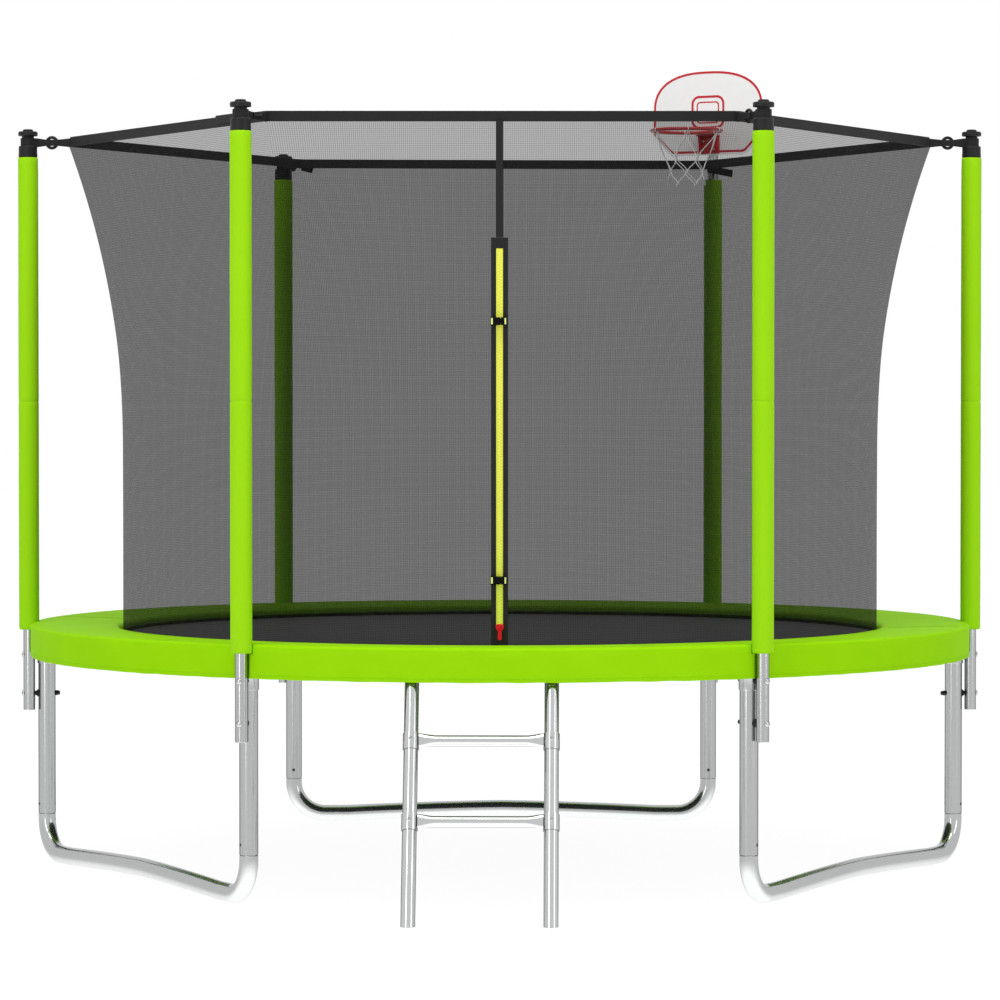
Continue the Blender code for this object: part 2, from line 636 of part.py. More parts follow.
# How far out an edge may reach where a round pole of the given radius stands in its way.
def beside_pole(angle, wanted, radius):
    place = pole_place(0)
    centre, centre_angle = hypot(place.x, place.y), atan2(place.y, place.x)
    offset = (angle - centre_angle + LEG_STEP / 2) % LEG_STEP - LEG_STEP / 2
    aside = centre * sin(offset)
    if abs(aside) >= radius:
        return wanted
    return min(wanted, centre * cos(offset) - sqrt(radius ** 2 - aside ** 2))


# Ring-shaped pad over the springs with the skirt that hangs from its outer edge. Both are
# drawn in where a pole passes.
def make_pad(root):
    over_springs = SPRING_HEIGHT + SPRING_COIL_RADIUS + PAD_REST_CLEARANCE
    over_hooks = HOOK_CENTRE_HEIGHT + HOOK_OUTER + PAD_REST_CLEARANCE
    step_in = RING_RADIUS - HOOK_OUTER - HOOK_CLEARANCE
    rim_height = PAD_TOP - PAD_CROWN
    middle = (PAD_INNER_RADIUS + PAD_OUTER_RADIUS) / 2
    foam_clear = FOAM_RADIUS + 2 * CLEARANCE
    pole_clear = POLE_RADIUS + 2 * CLEARANCE
    shelf = FOAM_BOTTOM - 2 * CLEARANCE - SKIRT_THICKNESS
    place = pole_place(0)
    pole_angle = atan2(place.y, place.x)
    offsets = [radians(side * degrees) for degrees in PAD_ANGLES for side in (-1, 1)]
    offsets = sorted(set(offsets))
    angles = []
    for index in range(SIDE_COUNT):
        centre = pole_angle + LEG_STEP * index
        angles.extend(centre + offset for offset in offsets)
        angles.append(LEG_STEP * (index + 0.5))

    def hem(angle):
        offset = (angle - pole_angle + LEG_STEP / 2) % LEG_STEP - LEG_STEP / 2
        aside = RING_RADIUS * sin(offset)
        arch = sqrt(max(SPACER_ARCH ** 2 - aside ** 2, 0.0))
        return max(SKIRT_BOTTOM, UPPER_BOLT_HEIGHT + arch) if arch > 0 else SKIRT_BOTTOM

    rings = []
    for angle in angles:
        foam_limit = beside_pole(angle, PAD_OUTER_RADIUS, foam_clear)
        pole_limit = beside_pole(angle, PAD_OUTER_RADIUS, pole_clear)
        skirt_inside = pole_limit - SKIRT_THICKNESS
        hem_height = hem(angle)
        outline = (
            (PAD_INNER_RADIUS, over_springs),
            (PAD_INNER_RADIUS, rim_height),
            (middle, PAD_TOP),
            (foam_limit, rim_height),
            (foam_limit, FOAM_BOTTOM - CLEARANCE),
            (pole_limit, FOAM_BOTTOM - 2 * CLEARANCE),
            (pole_limit, hem_height),
            (skirt_inside, hem_height),
            (skirt_inside, shelf),
            (foam_limit - SKIRT_THICKNESS, shelf + CLEARANCE),
            (foam_limit - SKIRT_THICKNESS, over_hooks),
            (step_in, over_hooks),
            (step_in, over_springs),
        )
        aim = Vector((cos(angle), sin(angle), 0))
        rings.append([radius * aim + Vector((0, 0, height)) for radius, height in outline])
    mesh = loft("spring pad", rings, looped=True)
    add_piece("spring_pad", mesh, LIME_FOAM, parent=root)


def corner_radius(index):
    return HOOP_CORNER_RADIUS if index % SIDE_COUNT == HOOP_SIDE else NET_CORNER_RADIUS


def net_corner(index):
    angle = net_shift() + LEG_STEP * index
    return corner_radius(index) * Vector((cos(angle), sin(angle)))


# The net is nearly round from its middle down, and six-sided at the belt, whose corners are
# strapped to the poles.
def net_radius(angle, height):
    index = int((angle - net_shift()) % (2 * pi) // LEG_STEP)
    start, end = [net_corner(step) for step in (index, index + 1)]
    side = end - start
    aim = Vector((cos(angle), sin(angle)))
    hexagon = start.cross(side) / aim.cross(side)
    share = max(0.0, 1 - (NET_TOP - height) / NET_FADE) ** NET_FADE_POWER
    return NET_RADIUS + (hexagon - NET_RADIUS) * share


# Both faces of the net split their patches along the same diagonals, so that the net is as
# thick in the middle of a patch as it is at its corners.
def make_net(root):
    build = bmesh.new()
    walls = []
    for outward in (1, -1):
        wall = []
        for row in range(NET_ROWS + 1):
            height = NET_BOTTOM + (NET_TOP - NET_BOTTOM) * (1 - (1 - row / NET_ROWS) ** NET_ROW_POWER)
            ring = []
            for index in range(NET_SIDES):
                angle = net_shift() + 2 * pi * index / NET_SIDES
                radius = net_radius(angle, height) + outward * NET_THICKNESS / 2
                ring.append(build.verts.new((radius * cos(angle), radius * sin(angle), height)))
            wall.append(ring)
        walls.append(wall)
    for index in range(NET_SIDES):
        after = (index + 1) % NET_SIDES
        for wall in walls:
            for low, high in zip(wall, wall[1:]):
                build.faces.new((low[index], low[after], high[after]))
                build.faces.new((low[index], high[after], high[index]))
        for outer, inner in ((walls[0][row], walls[1][row]) for row in (0, NET_ROWS)):
            build.faces.new((outer[index], outer[after], inner[after], inner[index]))
    bmesh.ops.recalc_face_normals(build, faces=build.faces)
    mesh = bpy.data.meshes.new("safety net")
    build.to_mesh(mesh)
    build.free()
    add_piece("safety_net", mesh, NET_BLACK, parent=root)


# A six-sided belt at the net's top, with a strap from each corner to its pole's neck.
def make_top_band(root):
    outer, inner = [], []
    half = BAND_THICKNESS / 2
    for index in range(SIDE_COUNT):
        angle = net_shift() + LEG_STEP * index
        aim = Vector((cos(angle), sin(angle)))
        aside = Vector((-sin(angle), cos(angle)))
        holder = STEM_RADIUS if index == HOOP_SIDE else NECK_RADIUS
        reach = pole_place(index).length - holder - CLEARANCE
        back = half * tan(LEG_STEP / 2)
        for side in (-1, 1):
            points = [(corner_radius(index) - back) * aim + side * half * aside]
            points.append(reach * aim + side * half * aside)
            outer.extend(points if side < 0 else points[::-1])
        corner = corner_radius(index) - BAND_THICKNESS / cos(LEG_STEP / 2)
        inner.append(corner * aim)
    build = bmesh.new()
    levels = []
    for height in (BAND_BOTTOM, BAND_BOTTOM + BAND_HEIGHT):
        rim = [build.verts.new((point.x, point.y, height)) for point in outer]
        core = [build.verts.new((point.x, point.y, height)) for point in inner]
        levels.append((rim, core))
    (low_rim, low_core), (high_rim, high_core) = levels
    for low, high in ((low_rim, high_rim), (low_core, high_core)):
        for index in range(len(low)):
            after = (index + 1) % len(low)
            build.faces.new((low[index], low[after], high[after], high[index]))
    for rim, core in levels:
        for index in range(SIDE_COUNT):
            after = (index + 1) % SIDE_COUNT
            base, tip, far_tip, far_base = rim[4 * index:4 * index + 4]
            build.faces.new((base, tip, far_tip, far_base))
            build.faces.new((core[index], base, far_base))
            build.faces.new((core[index], far_base, rim[4 * after], core[after]))
    bmesh.ops.recalc_face_normals(build, faces=build.faces)
    mesh = bpy.data.meshes.new("net top band")
    build.to_mesh(mesh)
    build.free()
    add_piece("net_top_band", mesh, WEBBING, parent=root)


def make_door(root):
    top = NET_TOP - CLEARANCE
    top_back = -(net_radius(-pi / 2, top) + NET_THICKNESS / 2 + 3 * CLEARANCE)

    def row(height, width, back):
        front = back - FLAP_THICKNESS
        corners = ((-width, back), (width, back), (width, front), (-width, front))
        return [Vector((x, y, height)) for x, y in corners]

    half, strap_half = FLAP_WIDTH / 2, DOOR_STRAP_WIDTH / 2
    rows = (
        row(FLAP_BOTTOM, half, -FLAP_BACK),
        row(FLAP_TOP, half, -FLAP_BACK),
        row(FLAP_TOP + FLAP_THICKNESS, strap_half, -FLAP_BACK),
        row(top, strap_half, top_back),
    )
    add_piece("door_flap", loft("door flap", rows), WEBBING, parent=root)
    half = ZIPPER_WIDTH / 2
    teeth = block(
        "zipper",
        (-half, -ZIPPER_FRONT, ZIPPER_BOTTOM),
        (half, -FLAP_FRONT - CLEARANCE, ZIPPER_TOP),
    )
    add_piece("door_zipper", teeth, ZIPPER_YELLOW, parent=root)


# The slider's loop is a small frame that stands out from its face, and the pull's top bar
# lies inside it. Both pieces have their origin on the pull's hinge line.
def make_slider(root):
    place = add_empty("slider_place", (0, -PULL_AXIS, SLIDER_HEIGHT_AT_REST), parent=root)
    half, tall = SLIDER_WIDTH / 2, SLIDER_LENGTH / 2
    low = (-half, PULL_AXIS_OUT, -tall)
    body = block("slider", low, (half, PULL_AXIS_OUT + SLIDER_THICKNESS, tall))
    loop_half, window = LOOP_WIDTH / 2, PULL_BAR / 2 + LOOP_GAP
    outer = window + LOOP_BAR
    into = PULL_AXIS_OUT + SLIDER_THICKNESS / 2
    loop = block("loop", (-loop_half, -outer, -outer), (loop_half, into, outer))
    opening = block("opening", (-half, -window, -window), (half, PULL_AXIS_OUT, window))
    mesh = carve(body, joined=[carve(loop, removed=[opening])])
    add_piece("zip_slider", mesh, HOOP_RED, parent=place)
    wide, thick = PULL_WIDTH / 2, PULL_BAR / 2
    tab = block("pull", (-wide, -thick, thick - PULL_LENGTH), (wide, thick, thick))
    eye_half = loop_half + 2 * LOOP_GAP
    eye_low = (-eye_half, -PULL_BAR, -thick - PULL_EYE_LENGTH)
    eye = block("eye", eye_low, (eye_half, PULL_BAR, -thick))
    add_piece("zip_pull", carve(tab, removed=[eye]), HOOP_RED, parent=place)


# Two side-release buckles across the zipper. The clip's tongue slides out of the socket
# along +X. A post at each outer end carries the buckle on the door flap.
def make_buckles(root):
    half, tall = BUCKLE_LENGTH / 2, BUCKLE_TALL / 2
    front = BUCKLE_BACK + BUCKLE_THICKNESS
    flap = FLAP_FRONT + CLEARANCE
    tongue_middle = BUCKLE_BACK + BUCKLE_THICKNESS / 2
    thick, wide = TONGUE_THICKNESS / 2, TONGUE_TALL / 2
    tongue_end = BUCKLE_SPLIT - TONGUE_LENGTH
    for name, height in BUCKLE_HEIGHTS:
        place = add_empty(f"buckle_place_{name}", (0, 0, height), parent=root)
        low = (-half, -front, -tall)
        shell = block("socket", low, (BUCKLE_SPLIT - CLEARANCE, -BUCKLE_BACK, tall))
        post = block("post", (-half, -front, -tall), (BUCKLE_POST - half, -flap, tall))
        slot = block(
            "slot",
            (tongue_end - CLEARANCE, -tongue_middle - thick - CLEARANCE, -wide - CLEARANCE),
            (2 * BUCKLE_SPLIT, -tongue_middle + thick + CLEARANCE, wide + CLEARANCE),
        )
        socket = carve(shell, joined=[post], removed=[slot])
        add_piece(f"buckle_socket_{name}", socket, BLACK_PLASTIC, parent=place)
        head = block("clip", (BUCKLE_SPLIT, -front, -tall), (half, -BUCKLE_BACK, tall))
        post = block("post", (half - BUCKLE_POST, -front, -tall), (half, -flap, tall))
        tongue = block(
            "tongue",
            (tongue_end, -tongue_middle - thick, -wide),
            (BUCKLE_SPLIT + BUCKLE_POST, -tongue_middle + thick, wide),
        )
        clip = carve(head, joined=[post, tongue])
        add_piece(f"buckle_clip_{name}", clip, BLACK_PLASTIC, parent=place)


# The ladder's own frame has its origin on the ring's centre line, midway between the two
# hooks, with -Y outward. A rail's place is given by the distance along it from the hinge.
def make_ladder(root):
    ring_radius = (RING_RADIUS + RING_VERTEX_RADIUS) / 2
    hinge_radius = sqrt(ring_radius ** 2 - LADDER_HALF_WIDTH ** 2)
    hinge_height = HOOK_CENTRE_HEIGHT
    aim = Vector((cos(LADDER_ANGLE), sin(LADDER_ANGLE), 0))
    hinge = hinge_radius * aim + Vector((0, 0, hinge_height))
    place = add_empty("ladder_hinge", hinge, LADDER_ANGLE + pi / 2, root)
    foot_out = LADDER_FOOT_RADIUS - hinge_radius
    inset = RAIL_RADIUS + RAIL_INSET
    lean = atan2(foot_out, hinge_height) + asin(inset / hypot(foot_out, hinge_height))
    along = Vector((0, -sin(lean), -cos(lean)))
    outward = Vector((0, -cos(lean), sin(lean)))
    across = Vector((1, 0, 0))

    def rail_ring(centre, radius, at_floor):
        points = polygon(centre, across, outward, radius, RAIL_SIDES)
        if not at_floor:
            return points
        return [point - along * ((point.z + hinge_height) / along.z) for point in points]

    def hook_outline():
        weld = flat_distance(RAIL_RADIUS, RAIL_SIDES) - inset - RAIL_WALL / 2
        outline = [(weld, HOOK_SHANK), (weld + HOOK_THICKNESS, HOOK_SHANK)]
        first = asin((weld + HOOK_THICKNESS) / HOOK_OUTER)
        for step in range(HOOK_STEPS + 1):
            turn = first + (HOOK_TIP + lean - first) * step / HOOK_STEPS
            outline.append((HOOK_OUTER * sin(turn), HOOK_OUTER * cos(turn)))
        for step in range(HOOK_STEPS, -1, -1):
            turn = (HOOK_TIP + lean) * step / HOOK_STEPS
            outline.append((HOOK_INNER * sin(turn), HOOK_INNER * cos(turn)))
        outline.append((weld, HOOK_INNER))
        return outline

    inner = RAIL_RADIUS - RAIL_WALL
    hook_half = HOOK_WIDTH / 2
    for name, side in (("left", -1), ("right", 1)):
        centre = side * LADDER_HALF_WIDTH * across - inset * outward
        top = centre + HOOK_INNER * along
        rings = [
            rail_ring(top, RAIL_RADIUS, False),
            rail_ring(centre, RAIL_RADIUS, True),
            rail_ring(centre, inner, True),
            rail_ring(top, inner, False),
        ]
        hook = plate("hook", hook_outline(), outward, along, -hook_half, hook_half)
        hook.transform(Matrix.Translation(side * LADDER_HALF_WIDTH * across))
        rail = carve(loft("rail", rings, looped=True), joined=[hook])
        add_piece(f"ladder_rail_{name}", rail, STEEL, parent=place)
    for name, height in RUNG_HEIGHTS:
        distance = (hinge_height - height - inset * sin(lean)) / cos(lean)
        centre = distance * along - inset * outward
        add_piece(f"ladder_rung_{name}", rung_mesh(along, outward), STEEL, centre, parent=place)


# A round bar whose ends open into half shells that wrap round the fronts of the rails.
def rung_mesh(along, outward):
    across = Vector((1, 0, 0))
    reach = LADDER_HALF_WIDTH - RAIL_RADIUS - SADDLE_THICKNESS / 2
    middle = bar("rung", (-reach, 0, 0), (reach, 0, 0), RUNG_RADIUS, RAIL_SIDES)
    saddles = []
    inner = clear_bore(RAIL_RADIUS, RAIL_SIDES)
    outer = inner + SADDLE_THICKNESS
    for side in (-1, 1):
        outline = []
        for radius, order in ((inner, 1), (outer, -1)):
            for step in range(SADDLE_STEPS + 1)[::order]:
                turn = SADDLE_REACH * (2 * step / SADDLE_STEPS - 1)
                outline.append((radius * sin(turn), radius * cos(turn)))
        half = SADDLE_TALL / 2
        saddle = plate("saddle", outline, across, outward, -half, half)
        saddle.transform(Matrix.Translation(side * LADDER_HALF_WIDTH * across))
        saddles.append(saddle)
    return carve(middle, joined=saddles)


def board_outline():
    low = BOARD_BOTTOM
    wide = BOARD_HALF_WIDTH
    points = [(-wide, low + BOARD_CHAMFER), (BOARD_CHAMFER - wide, low)]
    points += [(wide - BOARD_CHAMFER, low), (wide, low + BOARD_CHAMFER)]
    rise = BOARD_TOP - BOARD_SHOULDER
    power = 2 / BOARD_ARCH_POWER
    for step in range(BOARD_ARCH_STEPS + 1):
        angle = pi * step / BOARD_ARCH_STEPS
        run = wide * abs(cos(angle)) ** power
        x = run if angle <= pi / 2 else -run
        points.append((x, BOARD_SHOULDER + rise * sin(angle) ** power))
    return points


# A cone of cords in a diamond pattern, which hangs from the rim.
def hoop_net_mesh(top, bottom):
    build = bmesh.new()
    rows = []
    for row in range(HOOP_NET_ROWS + 1):
        share = row / HOOP_NET_ROWS
        radius = RIM_RADIUS + (HOOP_NET_BOTTOM_RADIUS - RIM_RADIUS) * share ** HOOP_NET_POWER
        height = top + (bottom - top) * share
        ring = []
        for loop in range(HOOP_NET_LOOPS):
            angle = 2 * pi * (loop + 0.5 * (row % 2)) / HOOP_NET_LOOPS
            ring.append(build.verts.new((radius * cos(angle), radius * sin(angle), height)))
        rows.append(ring)
    for row in range(HOOP_NET_ROWS - 1):
        upper, middle, lower = rows[row:row + 3]
        shift = 1 - row % 2
        for loop in range(HOOP_NET_LOOPS):
            before = (loop - shift) % HOOP_NET_LOOPS
            after = (before + 1) % HOOP_NET_LOOPS
            build.faces.new((upper[loop], middle[before], lower[loop], middle[after]))
    mesh = bpy.data.meshes.new("hoop net")
    build.to_mesh(mesh)
    build.free()
    return mesh


# The hoop stands on the back right pole. Its own frame has -Y towards the mat's middle.
def make_hoop(root):
    pole = pole_place(HOOP_SIDE)
    turn = atan2(pole.y, pole.x) - pi / 2
    place = add_empty("hoop_place", pole, turn, root)
    stem_bottom = POLE_TOP - STEM_DEPTH
    stem_bore = STEM_RADIUS - POLE_WALL
    stem = tube("hoop stem", STEM_RADIUS, stem_bore, stem_bottom, STEM_TOP, POLE_SIDES)
    add_piece("hoop_stem", stem, STEEL, pole, LEG_STEP * HOOP_SIDE + POLE_TURN + pi, root)
    across, up = Vector((1, 0, 0)), Vector((0, 0, 1))
    board = plate("board", board_outline(), across, up, BOARD_BACK, BOARD_FACE)
    add_piece("hoop_board", board, BOARD_WHITE, parent=place)
    half = BRACKET_WIDTH / 2
    bracket_back = BOARD_FACE + CLEARANCE
    bracket_front = bracket_back + BRACKET_DEPTH
    bracket = block(
        "bracket", (-half, -bracket_front, BRACKET_BOTTOM), (half, -bracket_back, BRACKET_TOP)
    )
    add_piece("hoop_bracket", bracket, HOOP_RED, parent=place)
    rim_height = BRACKET_TOP + CLEARANCE + RIM_BAR_RADIUS
    rim_centre = Vector((0, -BOARD_FACE - RIM_CENTRE_OUT, rim_height))
    rings = []
    for index in range(RIM_SEGMENTS):
        angle = 2 * pi * index / RIM_SEGMENTS
        outward = Vector((sin(angle), cos(angle), 0))
        centre = rim_centre + RIM_RADIUS * outward
        rings.append(polygon(centre, outward, up, RIM_BAR_RADIUS, RIM_SIDES))
    circle = loft("rim", rings, looped=True)
    arm_half, arm_thick = RIM_ARM_WIDTH / 2, RIM_ARM_THICKNESS / 2
    arm = block(
        "arm",
        (-arm_half, rim_centre.y + RIM_RADIUS * cos(arm_half / RIM_RADIUS), rim_height - arm_thick),
        (arm_half, -bracket_back, rim_height + arm_thick),
    )
    add_piece("hoop_rim", carve(circle, joined=[arm]), HOOP_RED, parent=place)
    net_top = -RIM_BAR_RADIUS - CLEARANCE - HOOP_NET_CORD / 2
    cords_mesh = hoop_net_mesh(net_top, HOOP_NET_BOTTOM - rim_height)
    net = add_piece("hoop_net", cords_mesh, CORD_WHITE, rim_centre, parent=place)
    cords = net.modifiers.new("cords", "WIREFRAME")
    cords.thickness = HOOP_NET_CORD
    cords.use_even_offset = False
    cords.use_boundary = True
    cords.use_replace = True


# Moves the whole object so that the middle of its base is at the world's origin.
def stand_on_origin(root):
    bpy.context.view_layer.update()
    graph = bpy.context.evaluated_depsgraph_get()
    low, high = Vector([inf] * 3), Vector([-inf] * 3)
    for piece in bpy.data.objects:
        if piece.type != "MESH" or piece.hide_render:
            continue
        evaluated = piece.evaluated_get(graph)
        for vertex in evaluated.data.vertices:
            place = evaluated.matrix_world @ vertex.co
            low = Vector(map(min, low, place))
            high = Vector(map(max, high, place))
    root.location = (-(low.x + high.x) / 2, -(low.y + high.y) / 2, -low.z)
    print("the trampoline's centre line stands at", tuple(root.location))


def build_all():
    clear_scene()
    root = add_empty("trampoline_centre", (0, 0, 0))
    make_ring(root)
    make_legs(root)
    make_poles(root)
    make_mat(root)
    make_springs(root)
    make_pad(root)
    make_net(root)
    make_top_band(root)
    make_door(root)
    make_slider(root)
    make_buckles(root)
    make_ladder(root)
    make_hoop(root)
    stand_on_origin(root)


build_all()
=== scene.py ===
import json
from math import asin, atan2, cos, exp, hypot, pi, radians, sin, sqrt

import bmesh
import bpy
from mathutils import Matrix, Vector, noise


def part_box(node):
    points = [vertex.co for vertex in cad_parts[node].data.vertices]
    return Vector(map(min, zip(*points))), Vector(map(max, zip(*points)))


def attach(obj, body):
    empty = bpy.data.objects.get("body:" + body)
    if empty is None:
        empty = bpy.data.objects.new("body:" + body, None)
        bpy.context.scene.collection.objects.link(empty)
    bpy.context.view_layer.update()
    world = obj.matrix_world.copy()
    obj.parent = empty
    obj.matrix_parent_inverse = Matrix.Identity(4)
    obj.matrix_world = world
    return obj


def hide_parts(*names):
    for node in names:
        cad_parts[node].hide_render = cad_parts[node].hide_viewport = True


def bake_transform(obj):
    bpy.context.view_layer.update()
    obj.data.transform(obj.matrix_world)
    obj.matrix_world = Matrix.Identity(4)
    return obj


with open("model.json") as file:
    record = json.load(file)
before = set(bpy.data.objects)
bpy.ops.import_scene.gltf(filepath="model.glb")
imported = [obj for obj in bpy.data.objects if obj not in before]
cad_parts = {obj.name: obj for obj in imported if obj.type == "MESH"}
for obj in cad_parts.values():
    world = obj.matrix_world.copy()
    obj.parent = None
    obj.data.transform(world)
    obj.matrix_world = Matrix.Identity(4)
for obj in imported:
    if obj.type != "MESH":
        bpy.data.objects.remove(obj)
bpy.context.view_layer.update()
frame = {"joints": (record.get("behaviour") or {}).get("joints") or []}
sideNames = ("right", "back_right", "back_left", "left", "front_left", "front_right")
hoopSide = 1
across, deep, up = Vector((1, 0, 0)), Vector((0, 1, 0)), Vector((0, 0, 1))
white = (1, 1, 1, 1)


def floorMiddle(node):
    low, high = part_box(node)
    middle = (low + high) / 2
    middle.z = 0
    return middle


hub = floorMiddle("jump_mat")
legPlaces = [floorMiddle(f"leg_upright_{side}") for side in sideNames]
polePlaces = [floorMiddle(f"pole_{side}") for side in sideNames]


# Even steps from one value to another, both ends included.
def spread(first, last, count):
    return [first + (last - first) * step / count for step in range(count + 1)]


def turns(count, start=0.0):
    return [start + 2 * pi * index / count for index in range(count)]


def polar(angle):
    return Vector((cos(angle), sin(angle), 0))


def around(angle, radius, height):
    return hub + Vector((radius * cos(angle), radius * sin(angle), height))


# Smooth noise that meets itself after a full turn.
def roundNoise(angle, spin, height):
    return noise.noise(Vector((spin * cos(angle), spin * sin(angle), height)))


def pick(table, names):
    return [table[name] for name in names.split()]


def angleOf(place):
    return atan2(place.y - hub.y, place.x - hub.x)


# small tools for node trees

def setInputs(node, inputs):
    for name, value in inputs.items():
        if isinstance(value, bpy.types.NodeSocket):
            node.id_data.links.new(value, node.inputs[name])
        else:
            node.inputs[name].default_value = value


def addNode(tree, kind, inputs=None, **settings):
    node = tree.nodes.new(kind)
    for name, value in settings.items():
        setattr(node, name, value)
    setInputs(node, inputs or {})
    return node


def calc(tree, operation, *values):
    return addNode(tree, "ShaderNodeMath", dict(enumerate(values)), operation=operation).outputs[0]


def addNoise(tree, surface, scale, detail, roughness=0.5):
    inputs = {"Vector": surface, "Scale": scale, "Detail": detail, "Roughness": roughness}
    return addNode(tree, "ShaderNodeTexNoise", inputs).outputs["Fac"]


def blendColours(tree, factor, first, second):
    inputs = {"Factor": factor}
    for index, colour in ((6, first), (7, second)):
        inputs[index] = colour if isinstance(colour, bpy.types.NodeSocket) else (*colour, 1)
    return addNode(tree, "ShaderNodeMix", inputs, data_type="RGBA").outputs[2]


def newGroup(name, kind, inputs, outputs):
    tree = bpy.data.node_groups.new(name, kind)
    for title, (socketKind, value) in inputs.items():
        socket = tree.interface.new_socket(title, in_out="INPUT", socket_type="NodeSocket" + socketKind)
        if value is not None:
            socket.default_value = value
    for title, socketKind in outputs.items():
        tree.interface.new_socket(title, in_out="OUTPUT", socket_type="NodeSocket" + socketKind)
    return tree, tree.nodes.new("NodeGroupInput").outputs, tree.nodes.new("NodeGroupOutput")


def useGroup(tree, group, inputs):
    return addNode(tree, "ShaderNodeGroup", inputs, node_tree=group).outputs


# Threads crossing at right angles, laid out in metres on the piece's own surface map.
def makeWeaveGroup():
    inputs = {"Surface": ("Vector", None), "Pitch": ("Float", 0.003), "Share": ("Float", 0.4)}
    outputs = {"Threads": "Float", "Height": "Float"}
    tree, enter, leave = newGroup("crossing threads", "ShaderNodeTree", inputs, outputs)
    parts = addNode(tree, "ShaderNodeSeparateXYZ", {0: enter["Surface"]}).outputs
    threads, rounds = [], []
    for axis in ("X", "Y"):
        steps = calc(tree, "DIVIDE", parts[axis], enter["Pitch"])
        crest = calc(tree, "MULTIPLY", calc(tree, "PINGPONG", steps, 0.5), 2.0)
        threads.append(calc(tree, "LESS_THAN", crest, enter["Share"]))
        rounds.append(calc(tree, "COSINE", calc(tree, "MULTIPLY", crest, pi)))
    setInputs(leave, {"Threads": calc(tree, "MAXIMUM", *threads), "Height": calc(tree, "MAXIMUM", *rounds)})
    return tree


# Soft cloudy change of tone and height, as handled cloth and film show. Where a material also bumps by
# this height, its darker tone sits in the hollows: painted shade.
def makeMottleGroup():
    inputs = {"Surface": ("Vector", None), "Scale": ("Float", 8.0), "Dark": ("Color", (0.3, 0.3, 0.3, 1)),
              "Light": ("Color", (0.5, 0.5, 0.5, 1))}
    outputs = {"Colour": "Color", "Height": "Float"}
    tree, enter, leave = newGroup("soft mottle", "ShaderNodeTree", inputs, outputs)
    cloud = addNoise(tree, enter["Surface"], enter["Scale"], 3.0, 0.55)
    colour = blendColours(tree, cloud, enter["Dark"], enter["Light"])
    setInputs(leave, {"Colour": colour, "Height": cloud})
    return tree


# Faint streaks along a drawn tube, from noise that is stretched along the surface map.
def makeStreakGroup():
    inputs = {"Surface": ("Vector", None), "Across": ("Float", 260.0), "Along": ("Float", 1.5)}
    outputs = {"Streaks": "Float", "Specks": "Float"}
    tree, enter, leave = newGroup("drawn streaks", "ShaderNodeTree", inputs, outputs)
    stretch = addNode(tree, "ShaderNodeCombineXYZ", {"X": enter["Across"], "Y": enter["Along"], "Z": 1.0})
    laid = addNode(tree, "ShaderNodeVectorMath", {0: enter["Surface"], 1: stretch.outputs[0]},
                   operation="MULTIPLY")
    specks = addNode(tree, "ShaderNodeTexVoronoi", {"Vector": enter["Surface"], "Scale": 150.0})
    tone = addNode(tree, "ShaderNodeSeparateColor", {0: specks.outputs["Color"]})
    streaks = addNoise(tree, laid.outputs[0], 1.0, 2.0)
    setInputs(leave, {"Streaks": streaks, "Specks": tone.outputs[0]})
    return tree


weaveGroup = makeWeaveGroup()
mottleGroup = makeMottleGroup()
streakGroup = makeStreakGroup()


# materials


def startMaterial(name, slot, roughness, shine=0.5, metallic=0.0, glow=0.0, coat=0.0):
    material = bpy.data.materials.new(name)
    material.use_nodes = True
    tree = material.node_tree
    shader = tree.nodes["Principled BSDF"]
    setInputs(shader, {"Roughness": roughness, "Specular IOR Level": shine, "Metallic": metallic,
                       "Emission Color": white, "Emission Strength": glow, "Coat Weight": coat})
    return material, tree, shader, addNode(tree, "ShaderNodeUVMap", uv_map="surface").outputs["UV"]


def addBump(tree, shader, height, distance, strength, **below):
    inputs = {"Height": height, "Distance": distance, "Strength": strength, **below}
    bump = addNode(tree, "ShaderNodeBump", inputs).outputs["Normal"]
    setInputs(shader, {"Normal": bump})
    return bump


def addMottle(tree, surface, scale, dark, light):
    inputs = {"Surface": surface, "Scale": scale, "Dark": (*dark, 1), "Light": (*light, 1)}
    return useGroup(tree, mottleGroup, inputs)


# Painted shade towards a tube's outline, darker where its surface turns away from the camera: where
# that starts and is full, the shade left there, and how much the outline mirrors.
tubeOutlineShade = {"start": 0.48, "full": 0.8, "shade": 0.45, "mirror": 0.45}
floorOutlineShade = {"start": 0.88, "full": 1.0, "shade": 0.5, "mirror": 0.8}


def galvanisedSteel(name, slot, dark, light, roughness, edge=tubeOutlineShade):
    material, tree, shader, surface = startMaterial(name, slot, roughness, metallic=1.0)
    streaks = useGroup(tree, streakGroup, {"Surface": surface})
    specks = calc(tree, "MULTIPLY", streaks["Specks"], 0.25)
    tone = calc(tree, "MULTIPLY_ADD", streaks["Streaks"], 0.75, specks)
    # Painted shade: the colour darkens towards the outline, by how far the surface turns from the camera.
    facing = addNode(tree, "ShaderNodeLayerWeight", {"Blend": 0.5}).outputs["Facing"]
    limits = {"Value": facing, "From Min": edge["start"], "From Max": edge["full"]}
    outline = addNode(tree, "ShaderNodeMapRange", limits).outputs["Result"]
    shade = [part * edge["shade"] for part in dark]
    colour = blendColours(tree, outline, blendColours(tree, tone, dark, light), shade)
    grain = addNoise(tree, surface, 40.0, 2.0)
    rough = calc(tree, "MULTIPLY_ADD", grain, 0.1, roughness - 0.05)
    tint = (edge["mirror"], edge["mirror"], edge["mirror"], 1)
    setInputs(shader, {"Base Color": colour, "Roughness": rough, "Specular Tint": tint})
    addBump(tree, shader, streaks["Streaks"], 0.0001, 0.25)
    return material


